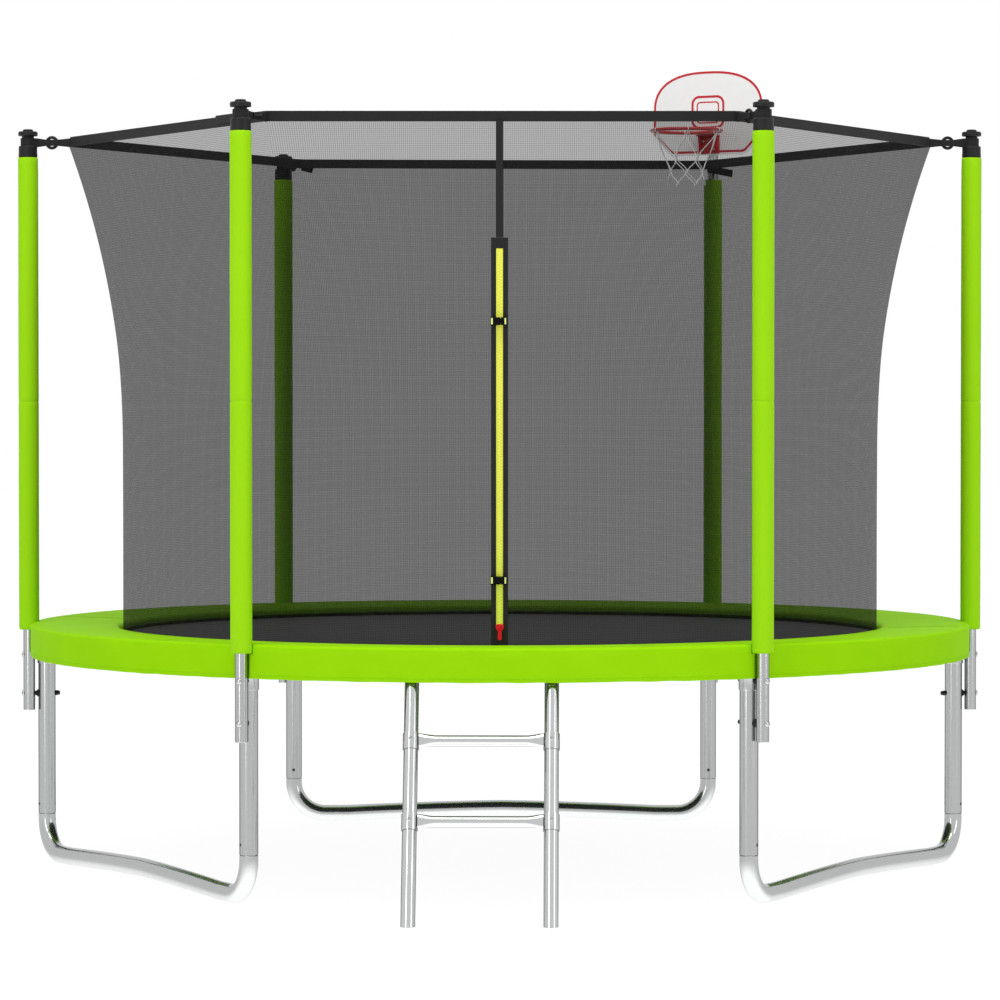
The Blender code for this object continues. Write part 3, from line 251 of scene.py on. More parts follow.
def coatedCloth(name, slot, dark, light, roughness, pitch, mottle, shine=0.04):
    material, tree, shader, surface = startMaterial(name, slot, roughness, shine)
    # Painted shade: the mottle is darker where its folds bump low, and the weave darkens the colour in the
    # hollows between threads.
    clouds = addMottle(tree, surface, mottle, dark, light)
    weave = useGroup(tree, weaveGroup, {"Surface": surface, "Pitch": pitch})["Height"]
    shade = calc(tree, "MULTIPLY_ADD", weave, 0.05, 0.95)
    toned = addNode(tree, "ShaderNodeVectorMath", {0: clouds["Colour"], "Scale": shade}, operation="SCALE")
    setInputs(shader, {"Base Color": toned.outputs[0]})
    folds = addBump(tree, shader, clouds["Height"], 0.01, 0.35)
    addBump(tree, shader, weave, pitch * 0.12, 0.5, Normal=folds)
    return material


def netMaterial():
    material, tree, shader, surface = startMaterial("safety net mesh", "net", 0.8, 0.05)
    inputs = {"Surface": surface, "Pitch": net["pitch"], "Share": net["threadShare"]}
    threads = useGroup(tree, weaveGroup, inputs)["Threads"]
    clouds = addMottle(tree, surface, 3.0, grey(net["dark"]), grey(net["light"]))
    alpha = calc(tree, "MULTIPLY_ADD", threads, net["threadAlpha"] - net["fineAlpha"], net["fineAlpha"])
    setInputs(shader, {"Base Color": clouds["Colour"], "Alpha": alpha})
    return material


def webbing(name, slot, dark, light, roughness=0.6, glow=0.0):
    material, tree, shader, surface = startMaterial(name, slot, roughness, 0.12, glow=glow)
    inputs = {"Vector": surface, "Scale": 160.0, "Distortion": 1.0, "Detail": 1.0}
    ribs = addNode(tree, "ShaderNodeTexWave", inputs, wave_type="BANDS", bands_direction="DIAGONAL")
    setInputs(shader, {"Base Color": blendColours(tree, ribs.outputs["Fac"], dark, light)})
    addBump(tree, shader, ribs.outputs["Fac"], 0.0004, 0.5)
    return material


def plastic(name, slot, dark, light, roughness, shine=0.5, **others):
    material, tree, shader = startMaterial(name, slot, roughness, shine, **others)[:3]
    place = addNode(tree, "ShaderNodeTexCoord").outputs["Object"]
    setInputs(shader, {"Base Color": addMottle(tree, place, 35.0, dark, light)["Colour"]})
    addBump(tree, shader, addNoise(tree, place, 900.0, 2.0), 0.0001, 0.3)
    return material


def grey(tone):
    return tone, tone, tone


print("materials")
tube, bolt, cover, black, red = "galvanised_tube zinc_bolt lime_cover black_plastic red_metal".split()
steel = galvanisedSteel("galvanised tube", tube, (0.395, 0.408, 0.404), (0.465, 0.478, 0.474), 0.15)
baseSteel = galvanisedSteel("floor rail tube", tube, (0.42, 0.434, 0.43), (0.5, 0.514, 0.51), 0.15,
                            floorOutlineShade)
ladderSteel = galvanisedSteel("ladder tube", tube, (0.49, 0.505, 0.5), (0.58, 0.595, 0.59), 0.12)
brightSteel = galvanisedSteel("zinc plated steel", bolt, (0.36, 0.37, 0.375), (0.46, 0.47, 0.475), 0.22)
springSteel = galvanisedSteel("spring wire", "zinc_spring", (0.55, 0.56, 0.57), (0.68, 0.69, 0.7), 0.24)
# The leg screws are drawn near black all over.
darkScrew = plastic("near black screw", bolt, grey(0.03), grey(0.07), 0.35)
lime = coatedCloth("lime cover", cover, (0.315, 0.71, 0.003), (0.365, 0.79, 0.005), 0.55, 0.0016, 7.0,
                   0.012)
limeSleeve = coatedCloth("lime sleeve", cover, (0.345, 0.74, 0.007), (0.38, 0.8, 0.01), 0.5, 0.0016,
                         5.0)
limeThread = webbing("lime thread", cover, (0.27, 0.62, 0.003), (0.33, 0.72, 0.006))
limeWebbing = webbing("lime webbing", cover, (0.68, 0.78, 0.2), (0.86, 0.9, 0.36))
matCloth = coatedCloth("mat weave", "black_mat", (0.078, 0.078, 0.08), (0.104, 0.104, 0.106), 0.5, 0.0034,
                       3.0)
blackWebbing = webbing("black webbing", "black_webbing", grey(0.011), (0.023, 0.023, 0.024))
blackThread = webbing("black thread", "black_webbing", grey(0.03), (0.07, 0.07, 0.072))
blackPlastic = plastic("black plastic", black, grey(0.008), grey(0.013), 0.45, 0.2)
buckleBlack = plastic("buckle plastic", black, grey(0.0015), grey(0.0035), 0.5, 0.06)
yellowTape = webbing("yellow zipper tape", "yellow_zipper", (0.66, 0.68, 0.05), (0.82, 0.84, 0.1))
yellowTeeth = plastic("yellow zipper teeth", "yellow_zipper", (0.8, 0.82, 0.1), (0.93, 0.95, 0.18), 0.3)
redPaint = plastic("red paint", red, (0.5, 0.009, 0.014), (0.62, 0.014, 0.022), 0.3, coat=0.3)
pullRed = plastic("red lacquer", red, (0.62, 0.008, 0.016), (0.76, 0.014, 0.026), 0.5, 0.12)
redPrint = plastic("red print", red, (0.54, 0.009, 0.02), (0.64, 0.013, 0.03), 0.45)
# The board panel and its film glow faintly: painted light that keeps them bright white.
boardPlastic = plastic("board plastic", "board_plastic", grey(0.93), grey(0.96), 0.4, glow=0.18)
boardFilm = plastic("board film", "board_plastic", grey(0.91), grey(0.95), 0.45, glow=0.02)
# The white cord glows faintly (the last value): painted light that keeps the hoop net bright.
whiteCord = webbing("white cord", "white_cord", (0.8, 0.8, 0.81), (0.95, 0.95, 0.96), 0.7, 0.12)


# small tools for meshes

def startMesh():
    build = bmesh.new()
    build.loops.layers.uv.new("surface")
    return build


# Joins equal rows of points by faces and lays the surface map out in metres.
def skin(build, rows, ends="capped"):
    layer = build.loops.layers.uv["surface"]
    made = [[build.verts.new(point) for point in row] for row in rows]
    count, lines = len(rows[0]), len(rows)
    middle = rows[lines // 2]
    wide, tall = [0.0], [0.0]
    for index in range(count):
        wide.append(wide[-1] + (middle[(index + 1) % count] - middle[index]).length)
    for index in range(lines):
        tall.append(tall[-1] + (rows[(index + 1) % lines][0] - rows[index][0]).length)
    for line in range(lines if ends == "joined" else lines - 1):
        low, high = made[line], made[(line + 1) % lines]
        for index in range(count):
            after = (index + 1) % count
            face = build.faces.new((low[index], low[after], high[after], high[index]))
            spots = ((index, line), (index + 1, line), (index + 1, line + 1), (index, line + 1))
            for loop, (column, row) in zip(face.loops, spots):
                loop[layer].uv = (wide[column], tall[row])
    if ends == "capped":
        build.faces.new(made[0][::-1])
        build.faces.new(made[-1])


def skinned(rows, ends="capped"):
    build = startMesh()
    skin(build, rows, ends)
    return build


def ringPoints(middle, first, second, radius, sides):
    return [middle + radius * (cos(turn) * first + sin(turn) * second) for turn in turns(sides)]


# Rings of points square to a path, carried along it without twist.
def ringsAlong(path, radii, sides, side=None):
    rows = []
    for index, point in enumerate(path):
        ahead = (path[min(index + 1, len(path) - 1)] - path[max(index - 1, 0)]).normalized()
        if side is None:
            side = ahead.orthogonal()
        side = (side - side.dot(ahead) * ahead).normalized()
        radius = radii if isinstance(radii, float) else radii[index]
        rows.append(ringPoints(point, side, ahead.cross(side), radius, sides))
    return rows


# A tube with a real wall at its open ends: each end is closed a little way inside.
def addTube(build, path, radius, wall, recess=0.03):
    lip = 0.0012
    aheads = (path[1] - path[0]).normalized(), (path[-2] - path[-1]).normalized()
    points = [path[0], path[0] + lip * aheads[0], *path[1:-1], path[-1] + lip * aheads[1], path[-1]]
    rows = ringsAlong(points, [radius - lip] + [radius] * len(path) + [radius - lip], 24)
    closed = []
    for rim, point, ahead in ((rows[0], path[0], aheads[0]), (rows[-1], path[-1], aheads[1])):
        narrow = [point + (corner - point) * ((radius - wall) / (radius - lip)) for corner in rim]
        closed.append([[corner + recess * ahead for corner in narrow], narrow])
    skin(build, closed[0] + rows + closed[1][::-1])


# A profile of (radius, height) turned about an axis through the place.
def addTurned(build, profile, sides, place=Vector((0, 0, 0)), aim=up):
    first = aim.orthogonal().normalized()
    second = aim.cross(first)
    skin(build, [ringPoints(place + height * aim, first, second, radius, sides)
                 for radius, height in profile])


def turnedPart(profile, sides):
    build = startMesh()
    addTurned(build, profile, sides)
    return build


# A box between any two opposite corners, with softened edges.
def addBlock(build, first, last, bevel, segments=2, turn=None):
    low, high = Vector(map(min, first, last)), Vector(map(max, first, last))
    part = bmesh.new()
    part.loops.layers.uv.new("surface")
    bmesh.ops.create_cube(part, size=1.0, calc_uvs=True)
    bmesh.ops.scale(part, vec=high - low, verts=part.verts)
    bmesh.ops.translate(part, vec=(low + high) / 2, verts=part.verts)
    bmesh.ops.bevel(part, geom=part.edges[:], offset=bevel, segments=segments, affect="EDGES", profile=0.5)
    if turn is not None:
        bmesh.ops.transform(part, matrix=turn, verts=part.verts)
    layer = part.loops.layers.uv.verify()
    for face in part.faces:
        for loop in face.loops:
            loop[layer].uv = (loop.vert.co.x + loop.vert.co.y, loop.vert.co.z)
    holder = bpy.data.meshes.new("block")
    part.to_mesh(holder)
    part.free()
    build.from_mesh(holder)
    bpy.data.meshes.remove(holder)


# A flat band of cloth set on edge along a level path. Its height may change from point to point.
def addBand(build, path, tall, thick, closed=False):
    rows = []
    last = len(path) - 1
    wide, soft = thick / 2, min(thick * 0.35, 0.0008)
    for index, point in enumerate(path):
        before = path[index - 1 if closed else max(index - 1, 0)]
        after = path[(index + 1) % len(path) if closed else min(index + 1, last)]
        ahead = (after - before).normalized()
        out = ahead.cross(up).normalized()
        lift = out.cross(ahead)
        half = (tall[index] if isinstance(tall, list) else tall) / 2
        spots = ((-wide, -half + soft), (-wide, half - soft), (-wide + soft, half), (wide - soft, half),
                 (wide, half - soft), (wide, -half + soft), (wide - soft, -half), (-wide + soft, -half))
        rows.append([point + x * out + z * lift for x, z in spots])
    skin(build, rows, "joined" if closed else "capped")


def smoothMesh(mesh, angle=35):
    mesh.shade_smooth()
    mesh.set_sharp_from_angle(angle=radians(angle))
    return mesh


def meshFrom(build, name, angle=35):
    bmesh.ops.recalc_face_normals(build, faces=build.faces)
    mesh = bpy.data.meshes.new(name)
    build.to_mesh(mesh)
    build.free()
    return smoothMesh(mesh, angle)


def newObject(name, mesh):
    made = bpy.data.objects.new(name, mesh)
    bpy.context.scene.collection.objects.link(made)
    return made


def addPiece(name, mesh, material, nodes=(), body="frame", slot=None):
    if isinstance(mesh, bmesh.types.BMesh):
        mesh = meshFrom(mesh, name)
    mesh.materials.clear()
    mesh.materials.append(material)
    piece = newObject(name.replace(" ", "_"), mesh)
    if body:
        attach(piece, body)
    if nodes:
        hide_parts(*nodes)
    return piece


def align(tree, inputs, **settings):
    return addNode(tree, "FunctionNodeAlignRotationToVector", inputs, **settings).outputs[0]


def placeAll(tree, leave, inputs):
    placed = addNode(tree, "GeometryNodeInstanceOnPoints", inputs).outputs[0]
    setInputs(leave, {"Result": addNode(tree, "GeometryNodeRealizeInstances", {0: placed}).outputs[0]})


# Geometry Nodes: sets one part on every point of a mesh, turned by the point's two arrows.
def makePlacingTree():
    inputs = {"Places": ("Geometry", None), "Part": ("Object", None)}
    tree, enter, leave = newGroup("placed parts", "GeometryNodeTree", inputs, {"Result": "Geometry"})
    aim, side = [addNode(tree, "GeometryNodeInputNamedAttribute", {"Name": name}, data_type="FLOAT_VECTOR")
                 for name in ("aim", "side")]
    upright = align(tree, {"Vector": aim.outputs["Attribute"]}, axis="Z")
    inputs = {"Rotation": upright, "Vector": side.outputs["Attribute"]}
    turned = align(tree, inputs, axis="X", pivot_axis="Z")
    part = addNode(tree, "GeometryNodeObjectInfo", {"Object": enter["Part"]}).outputs["Geometry"]
    placeAll(tree, leave, {"Points": enter["Places"], "Instance": part, "Rotation": turned})
    return tree


# Geometry Nodes: a row of stitches along every edge path of a mesh.
def makeStitchTree():
    inputs = {"Path": ("Geometry", None), "Stitch Length": ("Float", 0.006), "Gap": ("Float", 0.003),
              "Thread": ("Float", 0.0006)}
    tree, enter, leave = newGroup("stitches", "GeometryNodeTree", inputs, {"Result": "Geometry"})
    curve = addNode(tree, "GeometryNodeMeshToCurve", {"Mesh": enter["Path"]}).outputs[0]
    step = calc(tree, "ADD", enter["Stitch Length"], enter["Gap"])
    inputs = {"Curve": curve, "Length": step}
    spots = addNode(tree, "GeometryNodeCurveToPoints", inputs, mode="LENGTH").outputs
    size = {"Vertices": 5, "Radius": enter["Thread"], "Depth": enter["Stitch Length"]}
    thread = addNode(tree, "GeometryNodeMeshCylinder", size).outputs["Mesh"]
    aligned = align(tree, {"Vector": spots["Tangent"]}, axis="Z")
    placeAll(tree, leave, {"Points": spots["Points"], "Instance": thread, "Rotation": aligned})
    return tree


placingTree = makePlacingTree()
stitchTree = makeStitchTree()


def runTree(mesh, tree, values):
    holder = newObject("holder", mesh)
    change = holder.modifiers.new(tree.name, "NODES")
    change.node_group = tree
    for socket in tree.interface.items_tree:
        if socket.in_out == "INPUT" and socket.name in values:
            change[socket.identifier] = values[socket.name]
    bpy.context.view_layer.update()
    graph = bpy.context.evaluated_depsgraph_get()
    result = bpy.data.meshes.new_from_object(holder.evaluated_get(graph))
    bpy.data.objects.remove(holder)
    bpy.data.meshes.remove(mesh)
    return result


# Copies of one part as one piece. Spots are (place, aim, side) of each copy.
def addCopies(name, part, spots, material, **others):
    if isinstance(part, bmesh.types.BMesh):
        part = meshFrom(part, "part")
    part = newObject("part", part)
    points = bpy.data.meshes.new("places")
    points.from_pydata([spot[0] for spot in spots], [], [])
    for column, title in ((1, "aim"), (2, "side")):
        arrows = points.attributes.new(title, "FLOAT_VECTOR", "POINT")
        for index, spot in enumerate(spots):
            arrows.data[index].vector = spot[column]
    mesh = runTree(points, placingTree, {"Part": part})
    bpy.data.objects.remove(part)
    return addPiece(name, smoothMesh(mesh), material, **others)


def addStitches(name, paths, material, length=0.006, gap=0.003, thread=0.0005, **others):
    points, edges = [], []
    for path in paths:
        first = len(points)
        points.extend(path)
        edges.extend((first + index, first + index + 1) for index in range(len(path) - 1))
    lines = bpy.data.meshes.new("stitch lines")
    lines.from_pydata(points, edges, [])
    mesh = runTree(lines, stitchTree, {"Stitch Length": length, "Gap": gap, "Thread": thread})
    addPiece(name, mesh, material, **others)


# frame tubes: the ring in six bent sections with leg sockets, three leg rails and six leg tubes

tubes = {"radius": 0.0285, "wall": 0.0018, "ringRadius": 1.4975, "ringHeight": 0.735,
         "sectionLead": radians(9), "startGap": 0.0006, "endGap": 0.0002, "socketRadius": 0.0313,
         "socketBottom": 0.65, "jointHeight": 0.154, "bendRadius": 0.112, "footLength": 0.08,
         "rise": 0.018, "neckBottom": 0.14, "screwHeight": 0.186,
         "screw": [(0.0055, 0.0), (0.0055, 0.0006), (0.0046, 0.0018), (0.0026, 0.0024), (0.002, 0.0012),
                   (0.0006, 0.0011)]}


def makeRing():
    radius, height, socket, low = pick(tubes, "radius ringHeight socketRadius socketBottom")
    top = height - 0.8 * radius
    swage = [(radius - 0.004, -0.02), (radius - 0.0022, -0.002), (radius - 0.0022, 0.004),
             (radius - 0.004, 0.02)]
    cup = [(socket - 0.0022, low + 0.02), (socket - 0.0022, low), (socket - 0.0008, low),
           (socket, low + 0.001), (socket, top - 0.016), (socket + 0.0022, top - 0.01),
           (socket + 0.0018, top - 0.002), (socket - 0.004, top + 0.01)]
    for index, side in enumerate(sideNames):
        start = radians(60 * index) - tubes["sectionLead"]
        angles = spread(start, start + radians(60), 30)
        angles[0] += tubes["startGap"]
        angles[-1] -= tubes["endGap"]
        path = [around(angle, tubes["ringRadius"], height) for angle in angles]
        build = startMesh()
        addTube(build, path, radius, tubes["wall"])
        addTurned(build, swage, 24, path[0], (path[1] - path[0]).normalized())
        addTurned(build, cup, 32, legPlaces[index])
        addPiece(f"ring tube {side}", build, steel, [f"ring_section_{side}"])


def makeLegBases():
    radius, bend, joint, low = pick(tubes, "radius bendRadius jointHeight neckBottom")
    neck = [(radius - 0.0045, low), (radius - 0.0024, low + 0.002), (radius - 0.0024, low + 0.018),
            (radius - 0.0045, low + 0.02)]
    for name, first in (("back", 1), ("left", 3), ("right", 5)):
        start, end = legPlaces[first], legPlaces[(first + 1) % 6]
        middle, along, half = (start + end) / 2, (end - start).normalized(), (end - start).length / 2
        line = [(half, joint), (half, joint - 0.008)]
        for angle in spread(0, pi / 2, 14):
            line.append((half - bend + bend * cos(angle), radius + bend - bend * sin(angle)))
        flatEnd = half - bend - tubes["footLength"]
        for share in spread(1, 0, 8):
            line.append((flatEnd * share, radius + tubes["rise"] * (1 - share ** 1.4)))
        line += [(-x, z) for x, z in reversed(line[:-1])]
        build = startMesh()
        addTube(build, [middle + x * along + z * up for x, z in line], radius, tubes["wall"], 0.004)
        for place in (end, start):
            addTurned(build, neck, 24, place)
        addPiece(f"leg rail {name}", build, baseSteel, [f"leg_base_{name}"])


def makeUprights():
    radius = tubes["radius"]
    heights = spread(tubes["jointHeight"] + 0.0006, tubes["ringHeight"] - radius - 0.001, 6)
    spots = []
    for index, side in enumerate(sideNames):
        place = legPlaces[index]
        build = startMesh()
        addTube(build, [place + height * up for height in heights], radius, tubes["wall"])
        addPiece(f"leg tube {side}", build, steel, [f"leg_upright_{side}"])
        partner = legPlaces[(index + 1 if index % 2 else index - 1) % 6]
        inside = (partner - place).normalized().cross(up)
        for aim in (-inside, inside):
            spots.append((place + (radius - 0.0006) * aim + tubes["screwHeight"] * up, aim, up))
    addCopies("leg screws", turnedPart(tubes["screw"], 12), spots, darkScrew)


# net poles with sleeves, caps and bolts

poles = {"radius": 0.0193, "wall": 0.0015, "bottom": 0.4966, "sleeveRadius": 0.0328,
         "sleeveBottom": 0.7622, "sleeveTop": 2.3158, "sleeveSeam": 1.512, "sleeveSides": 40,
         "edgeTall": 0.006, "edgeDeep": 0.0035, "seamTall": 0.0035, "seamDeep": 0.0011, "ripple": 0.0006,
         "fineRipple": 0.00022, "stitches": (0.775, 2.275), "collarRadius": 0.0312, "collarTop": 2.3535,
         "neckRadius": 0.0197, "neckTop": 2.3863, "flangeRadius": 0.032, "flangeTop": 2.4011,
         "knobRadius": 0.0172, "knobTop": 2.4083, "boltHeights": (0.5517, 0.679),
         "head": [(0.0095, -0.0012), (0.0095, 0.0004), (0.0088, 0.0022), (0.0068, 0.004), (0.004, 0.005),
                  (0.0008, 0.0053)],
         "nut": [(0.006, -0.0008), (0.0085, 0.0), (0.0085, 0.0075), (0.007, 0.0085), (0.007, 0.0135),
                 (0.006, 0.0145)]}


def sleeveRadiusAt(height, angle, seed):
    radius = poles["sleeveRadius"]
    for edge in (poles["sleeveBottom"], poles["sleeveTop"]):
        near = abs(height - edge) / poles["edgeTall"]
        if near < 1:
            radius -= poles["edgeDeep"] * (1 - sqrt(max(1 - (1 - near) ** 2, 0)))
    radius -= poles["seamDeep"] * exp(-((height - poles["sleeveSeam"]) / poles["seamTall"]) ** 2)
    ripple = poles["ripple"] * roundNoise(angle, 3, height * 5 + seed * 7)
    return radius + ripple + poles["fineRipple"] * roundNoise(angle, 5, height * 28 + seed * 3)


def makePoles():
    low, high, seam, sides, edge = pick(poles, "sleeveBottom sleeveTop sleeveSeam sleeveSides edgeTall")
    heights = spread(low, high, 90)[1:-1] + [seam + step * 0.0012 for step in range(-4, 5)]
    for share in (0, 0.08, 0.25, 0.5, 1):
        heights += [low + edge * share, high - edge * share]
    for index, side in enumerate(sideNames):
        place = polePlaces[index]
        build = startMesh()
        path = [place + height * up for height in spread(poles["bottom"], high + 0.02, 8)]
        addTube(build, path, poles["radius"], poles["wall"])
        addPiece(f"net pole {side}", build, steel, [f"pole_{side}"])
        rows = [[place + height * up + sleeveRadiusAt(height, turn, index) * polar(turn)
                 for turn in turns(sides)] for height in sorted(heights)]
        for height in (high, low):
            rows.append(ringPoints(place + height * up, across, deep, poles["radius"] + 0.0006, sides))
        build = skinned(rows, "joined")
        addPiece(f"foam sleeve {side}", build, limeSleeve, [f"pole_foam_{side}"])
        back = place - (place - hub).normalized() * (poles["sleeveRadius"] + 0.0002)
        line = [back + height * up for height in spread(*poles["stitches"], 15)]
        addStitches(f"sleeve stitches {side}", [line], limeThread, thread=0.0006)


def makeCaps():
    stem, collar, neck, flange, knob = pick(poles, "radius collarRadius neckRadius flangeRadius knobRadius")
    low, collarTop, neckTop = pick(poles, "sleeveTop collarTop neckTop")
    flangeTop, knobTop = pick(poles, "flangeTop knobTop")
    low, bore, soft = low + 0.0006, stem + 0.0008, 0.0012
    profile = [(bore, low + 0.01), (bore, low), (collar - soft, low), (collar, low + soft),
               (collar, low + 0.012), (collar - 0.0006, low + 0.0125), (collar - 0.0006, collarTop - 0.003),
               (collar - 0.003, collarTop), (neck + 0.002, collarTop), (neck, collarTop + 0.002),
               (neck, neckTop - 0.002), (neck + 0.002, neckTop), (flange - soft, neckTop),
               (flange, neckTop + soft), (flange, flangeTop - 0.003), (flange - 0.003, flangeTop),
               (knob + 0.001, flangeTop), (knob, flangeTop + 0.001), (knob, knobTop - 0.003),
               (knob - 0.003, knobTop), (0.002, knobTop + 0.0003)]
    for index, side in enumerate(sideNames):
        if index != hoopSide:
            build = startMesh()
            addTurned(build, profile, 40, polePlaces[index])
            addPiece(f"pole cap {side}", build, blackPlastic, [f"pole_cap_{side}"])


def makePoleBolts():
    heads, spacers, nuts = [], [], []
    radius = poles["radius"]
    for pole, leg in zip(polePlaces, legPlaces):
        aim, apart = (leg - pole).normalized(), (leg - pole).length
        for height in poles["boltHeights"]:
            middle = pole + height * up
            heads.append((middle - radius * aim, -aim, up))
            spacers.append((middle + radius * aim, aim, up))
            nuts.append((middle + (apart + tubes["radius"]) * aim, aim, up))
    addCopies("bolt heads", turnedPart(poles["head"], 20), heads, brightSteel)
    gap = (legPlaces[0] - polePlaces[0]).length - radius - tubes["radius"]
    spacer = [(0.006, -0.0012), (0.0066, 0.0006), (0.0078, 0.35 * gap), (0.0118, 0.8 * gap),
              (0.0132, gap + 0.0006), (0.012, gap + 0.0022)]
    addCopies("pole spacers", turnedPart(spacer, 20), spacers, blackPlastic,
              nodes=[f"pole_bolt_{side}" for side in sideNames])
    addCopies("bolt nuts", turnedPart(poles["nut"], 6), nuts, blackPlastic)


# mat, springs and pad

mat = {"radius": 1.289, "top": 0.75, "thickness": 0.0022, "sides": 120, "rings": 16, "sag": 0.004,
       "edgeWidth": 0.042, "seamInsets": (0.006, 0.02, 0.036), "springCount": 60, "firstSpring": radians(3),
       "springHeight": 0.749, "coilRadius": 0.0088, "wire": 0.0017, "coilStart": 1.33, "coilEnd": 1.442,
       "hookEnd": 1.4695, "turns": 30, "ringWire": 0.0014,
       "ringCorners": [(-0.014, -0.012), (0.014, -0.012), (0.0035, 0.0195), (-0.0035, 0.0195)]}


def makeMat():
    radius, top, thick, sides, rings = pick(mat, "radius top thickness sides rings")
    rows = []
    for share in spread(0, 1, rings)[1:]:
        height = top - mat["sag"] * (1 - share ** 2)
        rows.append(ringPoints(hub + height * up, across, deep, radius * share, sides))
    under = [[point - thick * up for point in row] for row in rows]
    build = skinned(rows + under[::-1])
    layer = build.loops.layers.uv["surface"]
    for face in build.faces:                     # one straight weave over the whole mat
        for loop in face.loops:
            loop[layer].uv = loop.vert.co.xy
    sheet = addPiece("jump mat cloth", build, matCloth, ["jump_mat"], "mat")
    inner, outer = radius - mat["edgeWidth"], radius + 0.0004
    section = [(inner, -0.0003), (inner + 0.001, 0.0009), (outer - 0.001, 0.0009), (outer, -0.0001),
               (outer, -thick - 0.0003), (inner, -thick - 0.0005)]
    build = skinned([[around(turn, x, top + z) for x, z in section] for turn in turns(240)], "joined")
    addPiece("mat edge web", build, blackWebbing, body="mat", slot="black_mat")
    lines = []
    for inset in mat["seamInsets"]:
        lines.append([around(turn, outer - inset, top + 0.001) for turn in spread(0, 2 * pi, 240)])
    addStitches("mat stitches", lines, blackThread, 0.007, 0.004, 0.0006, body="mat", slot="black_mat")
    build = skinned(ringsAlong([Vector((x, 0, z)) for x, z in mat["ringCorners"]], mat["ringWire"], 6))
    spots = [springSpot(index, radius, -0.001) for index in range(mat["springCount"])]
    addCopies("mat rings", build, spots, brightSteel, body="mat", slot="zinc_spring")


def springSpot(index, radius, lift=0.0):
    out = polar(springAngle(index))
    return around(springAngle(index), radius, mat["springHeight"] + lift), out, Vector((-out.y, out.x, 0))


def springAngle(index):
    return mat["firstSpring"] + 2 * pi * index / mat["springCount"]


# One coil spring along its own axis, with a hook at each end.
def springMesh():
    length, perTurn = mat["coilEnd"] - mat["coilStart"], 9
    low, high = mat["radius"] + 0.014 - mat["coilStart"], mat["hookEnd"] - mat["coilStart"]
    path = [(0, 0.004, low - 0.002), (0, 0.0055, low + 0.003), (0, 0.001, -0.012), (0, 0, -0.006)]
    count = mat["turns"] * perTurn
    for step in range(count + 1):
        angle = 2 * pi * step / perTurn
        wide = max(mat["coilRadius"] * min(1.0, step / 6, (count - step) / 6) - mat["wire"] * 0.5, 0.001)
        path.append((wide * cos(angle), wide * sin(angle), length * step / count))
    path += [(0, 0, length + 0.006), (0, 0.001, high - 0.006), (0, 0.0045, high - 0.001),
             (0, -0.004, high + 0.001)]
    return meshFrom(skinned(ringsAlong([Vector(point) for point in path], mat["wire"], 5)), "spring")


def makeSprings():
    part = springMesh()
    for index in range(mat["springCount"]):
        piece = addCopies(f"spring {index}", part, [springSpot(index, mat["coilStart"])], springSteel,
                          nodes=["mat_springs"] if index == 0 else [], body=None)
        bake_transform(piece)


# The last two values place a black band of painted shade under the pad's inner rim.
pad = {"inner": 1.2475, "outer": 1.54, "top": 0.7868, "low": 0.7605, "corner": 0.019, "hem": 0.686,
       "cloth": 0.0022, "seamStart": radians(287.6), "panels": 6, "outerCorner": 0.01,
       "innerDrop": 0.006, "outerLift": 0.0016, "lip": 0.7608, "lipWide": 0.006, "notch": 0.0237,
       "overRing": 0.7685, "ringClear": 1.459, "puff": 0.00072, "bump": 0.0012, "sway": 0.0022,
       "crown": 0.0014, "hemWave": 0.0016, "seamDeep": 0.001, "seamWide": 0.0022,
       "shadeBandLow": 0.7528, "shadeBandIn": 0.0016}


# The pad's top rises a little from its inner rim to its outer one.
def padTop(share):
    rise = -pad["innerDrop"] + (pad["innerDrop"] + pad["outerLift"]) * share
    return pad["top"] + rise + pad["crown"] * (4 * share * (1 - share)) ** 0.7


# The pad's radius at an angle, kept clear of the poles.
def besidePole(angle, clear):
    limit = pad["outer"]
    for place in polePlaces:
        turn = (angle - angleOf(place) + pi) % (2 * pi) - pi
        distance = (place - hub).length
        aside = distance * sin(turn)
        if abs(turn) <= radians(3) and abs(aside) < clear:
            limit = min(limit, distance * cos(turn) - sqrt(clear ** 2 - aside ** 2))
    return limit


def seamAngles():
    return turns(pad["panels"], pad["seamStart"])


def seamDepth(angle):
    step = 2 * pi / pad["panels"]
    turn = (angle - pad["seamStart"] + step / 2) % step - step / 2
    return exp(-(turn * pad["outer"] / pad["seamWide"]) ** 2)


def padAngles():
    angles = turns(540)
    for place in polePlaces:
        angles += [(angleOf(place) + radians(offset / 12)) % (2 * pi) for offset in range(-20, 21)]
    for middle in seamAngles():
        angles += [(middle + offset * 0.0007) % (2 * pi) for offset in range(-5, 6)]
    return sorted(set(round(angle, 6) for angle in angles))


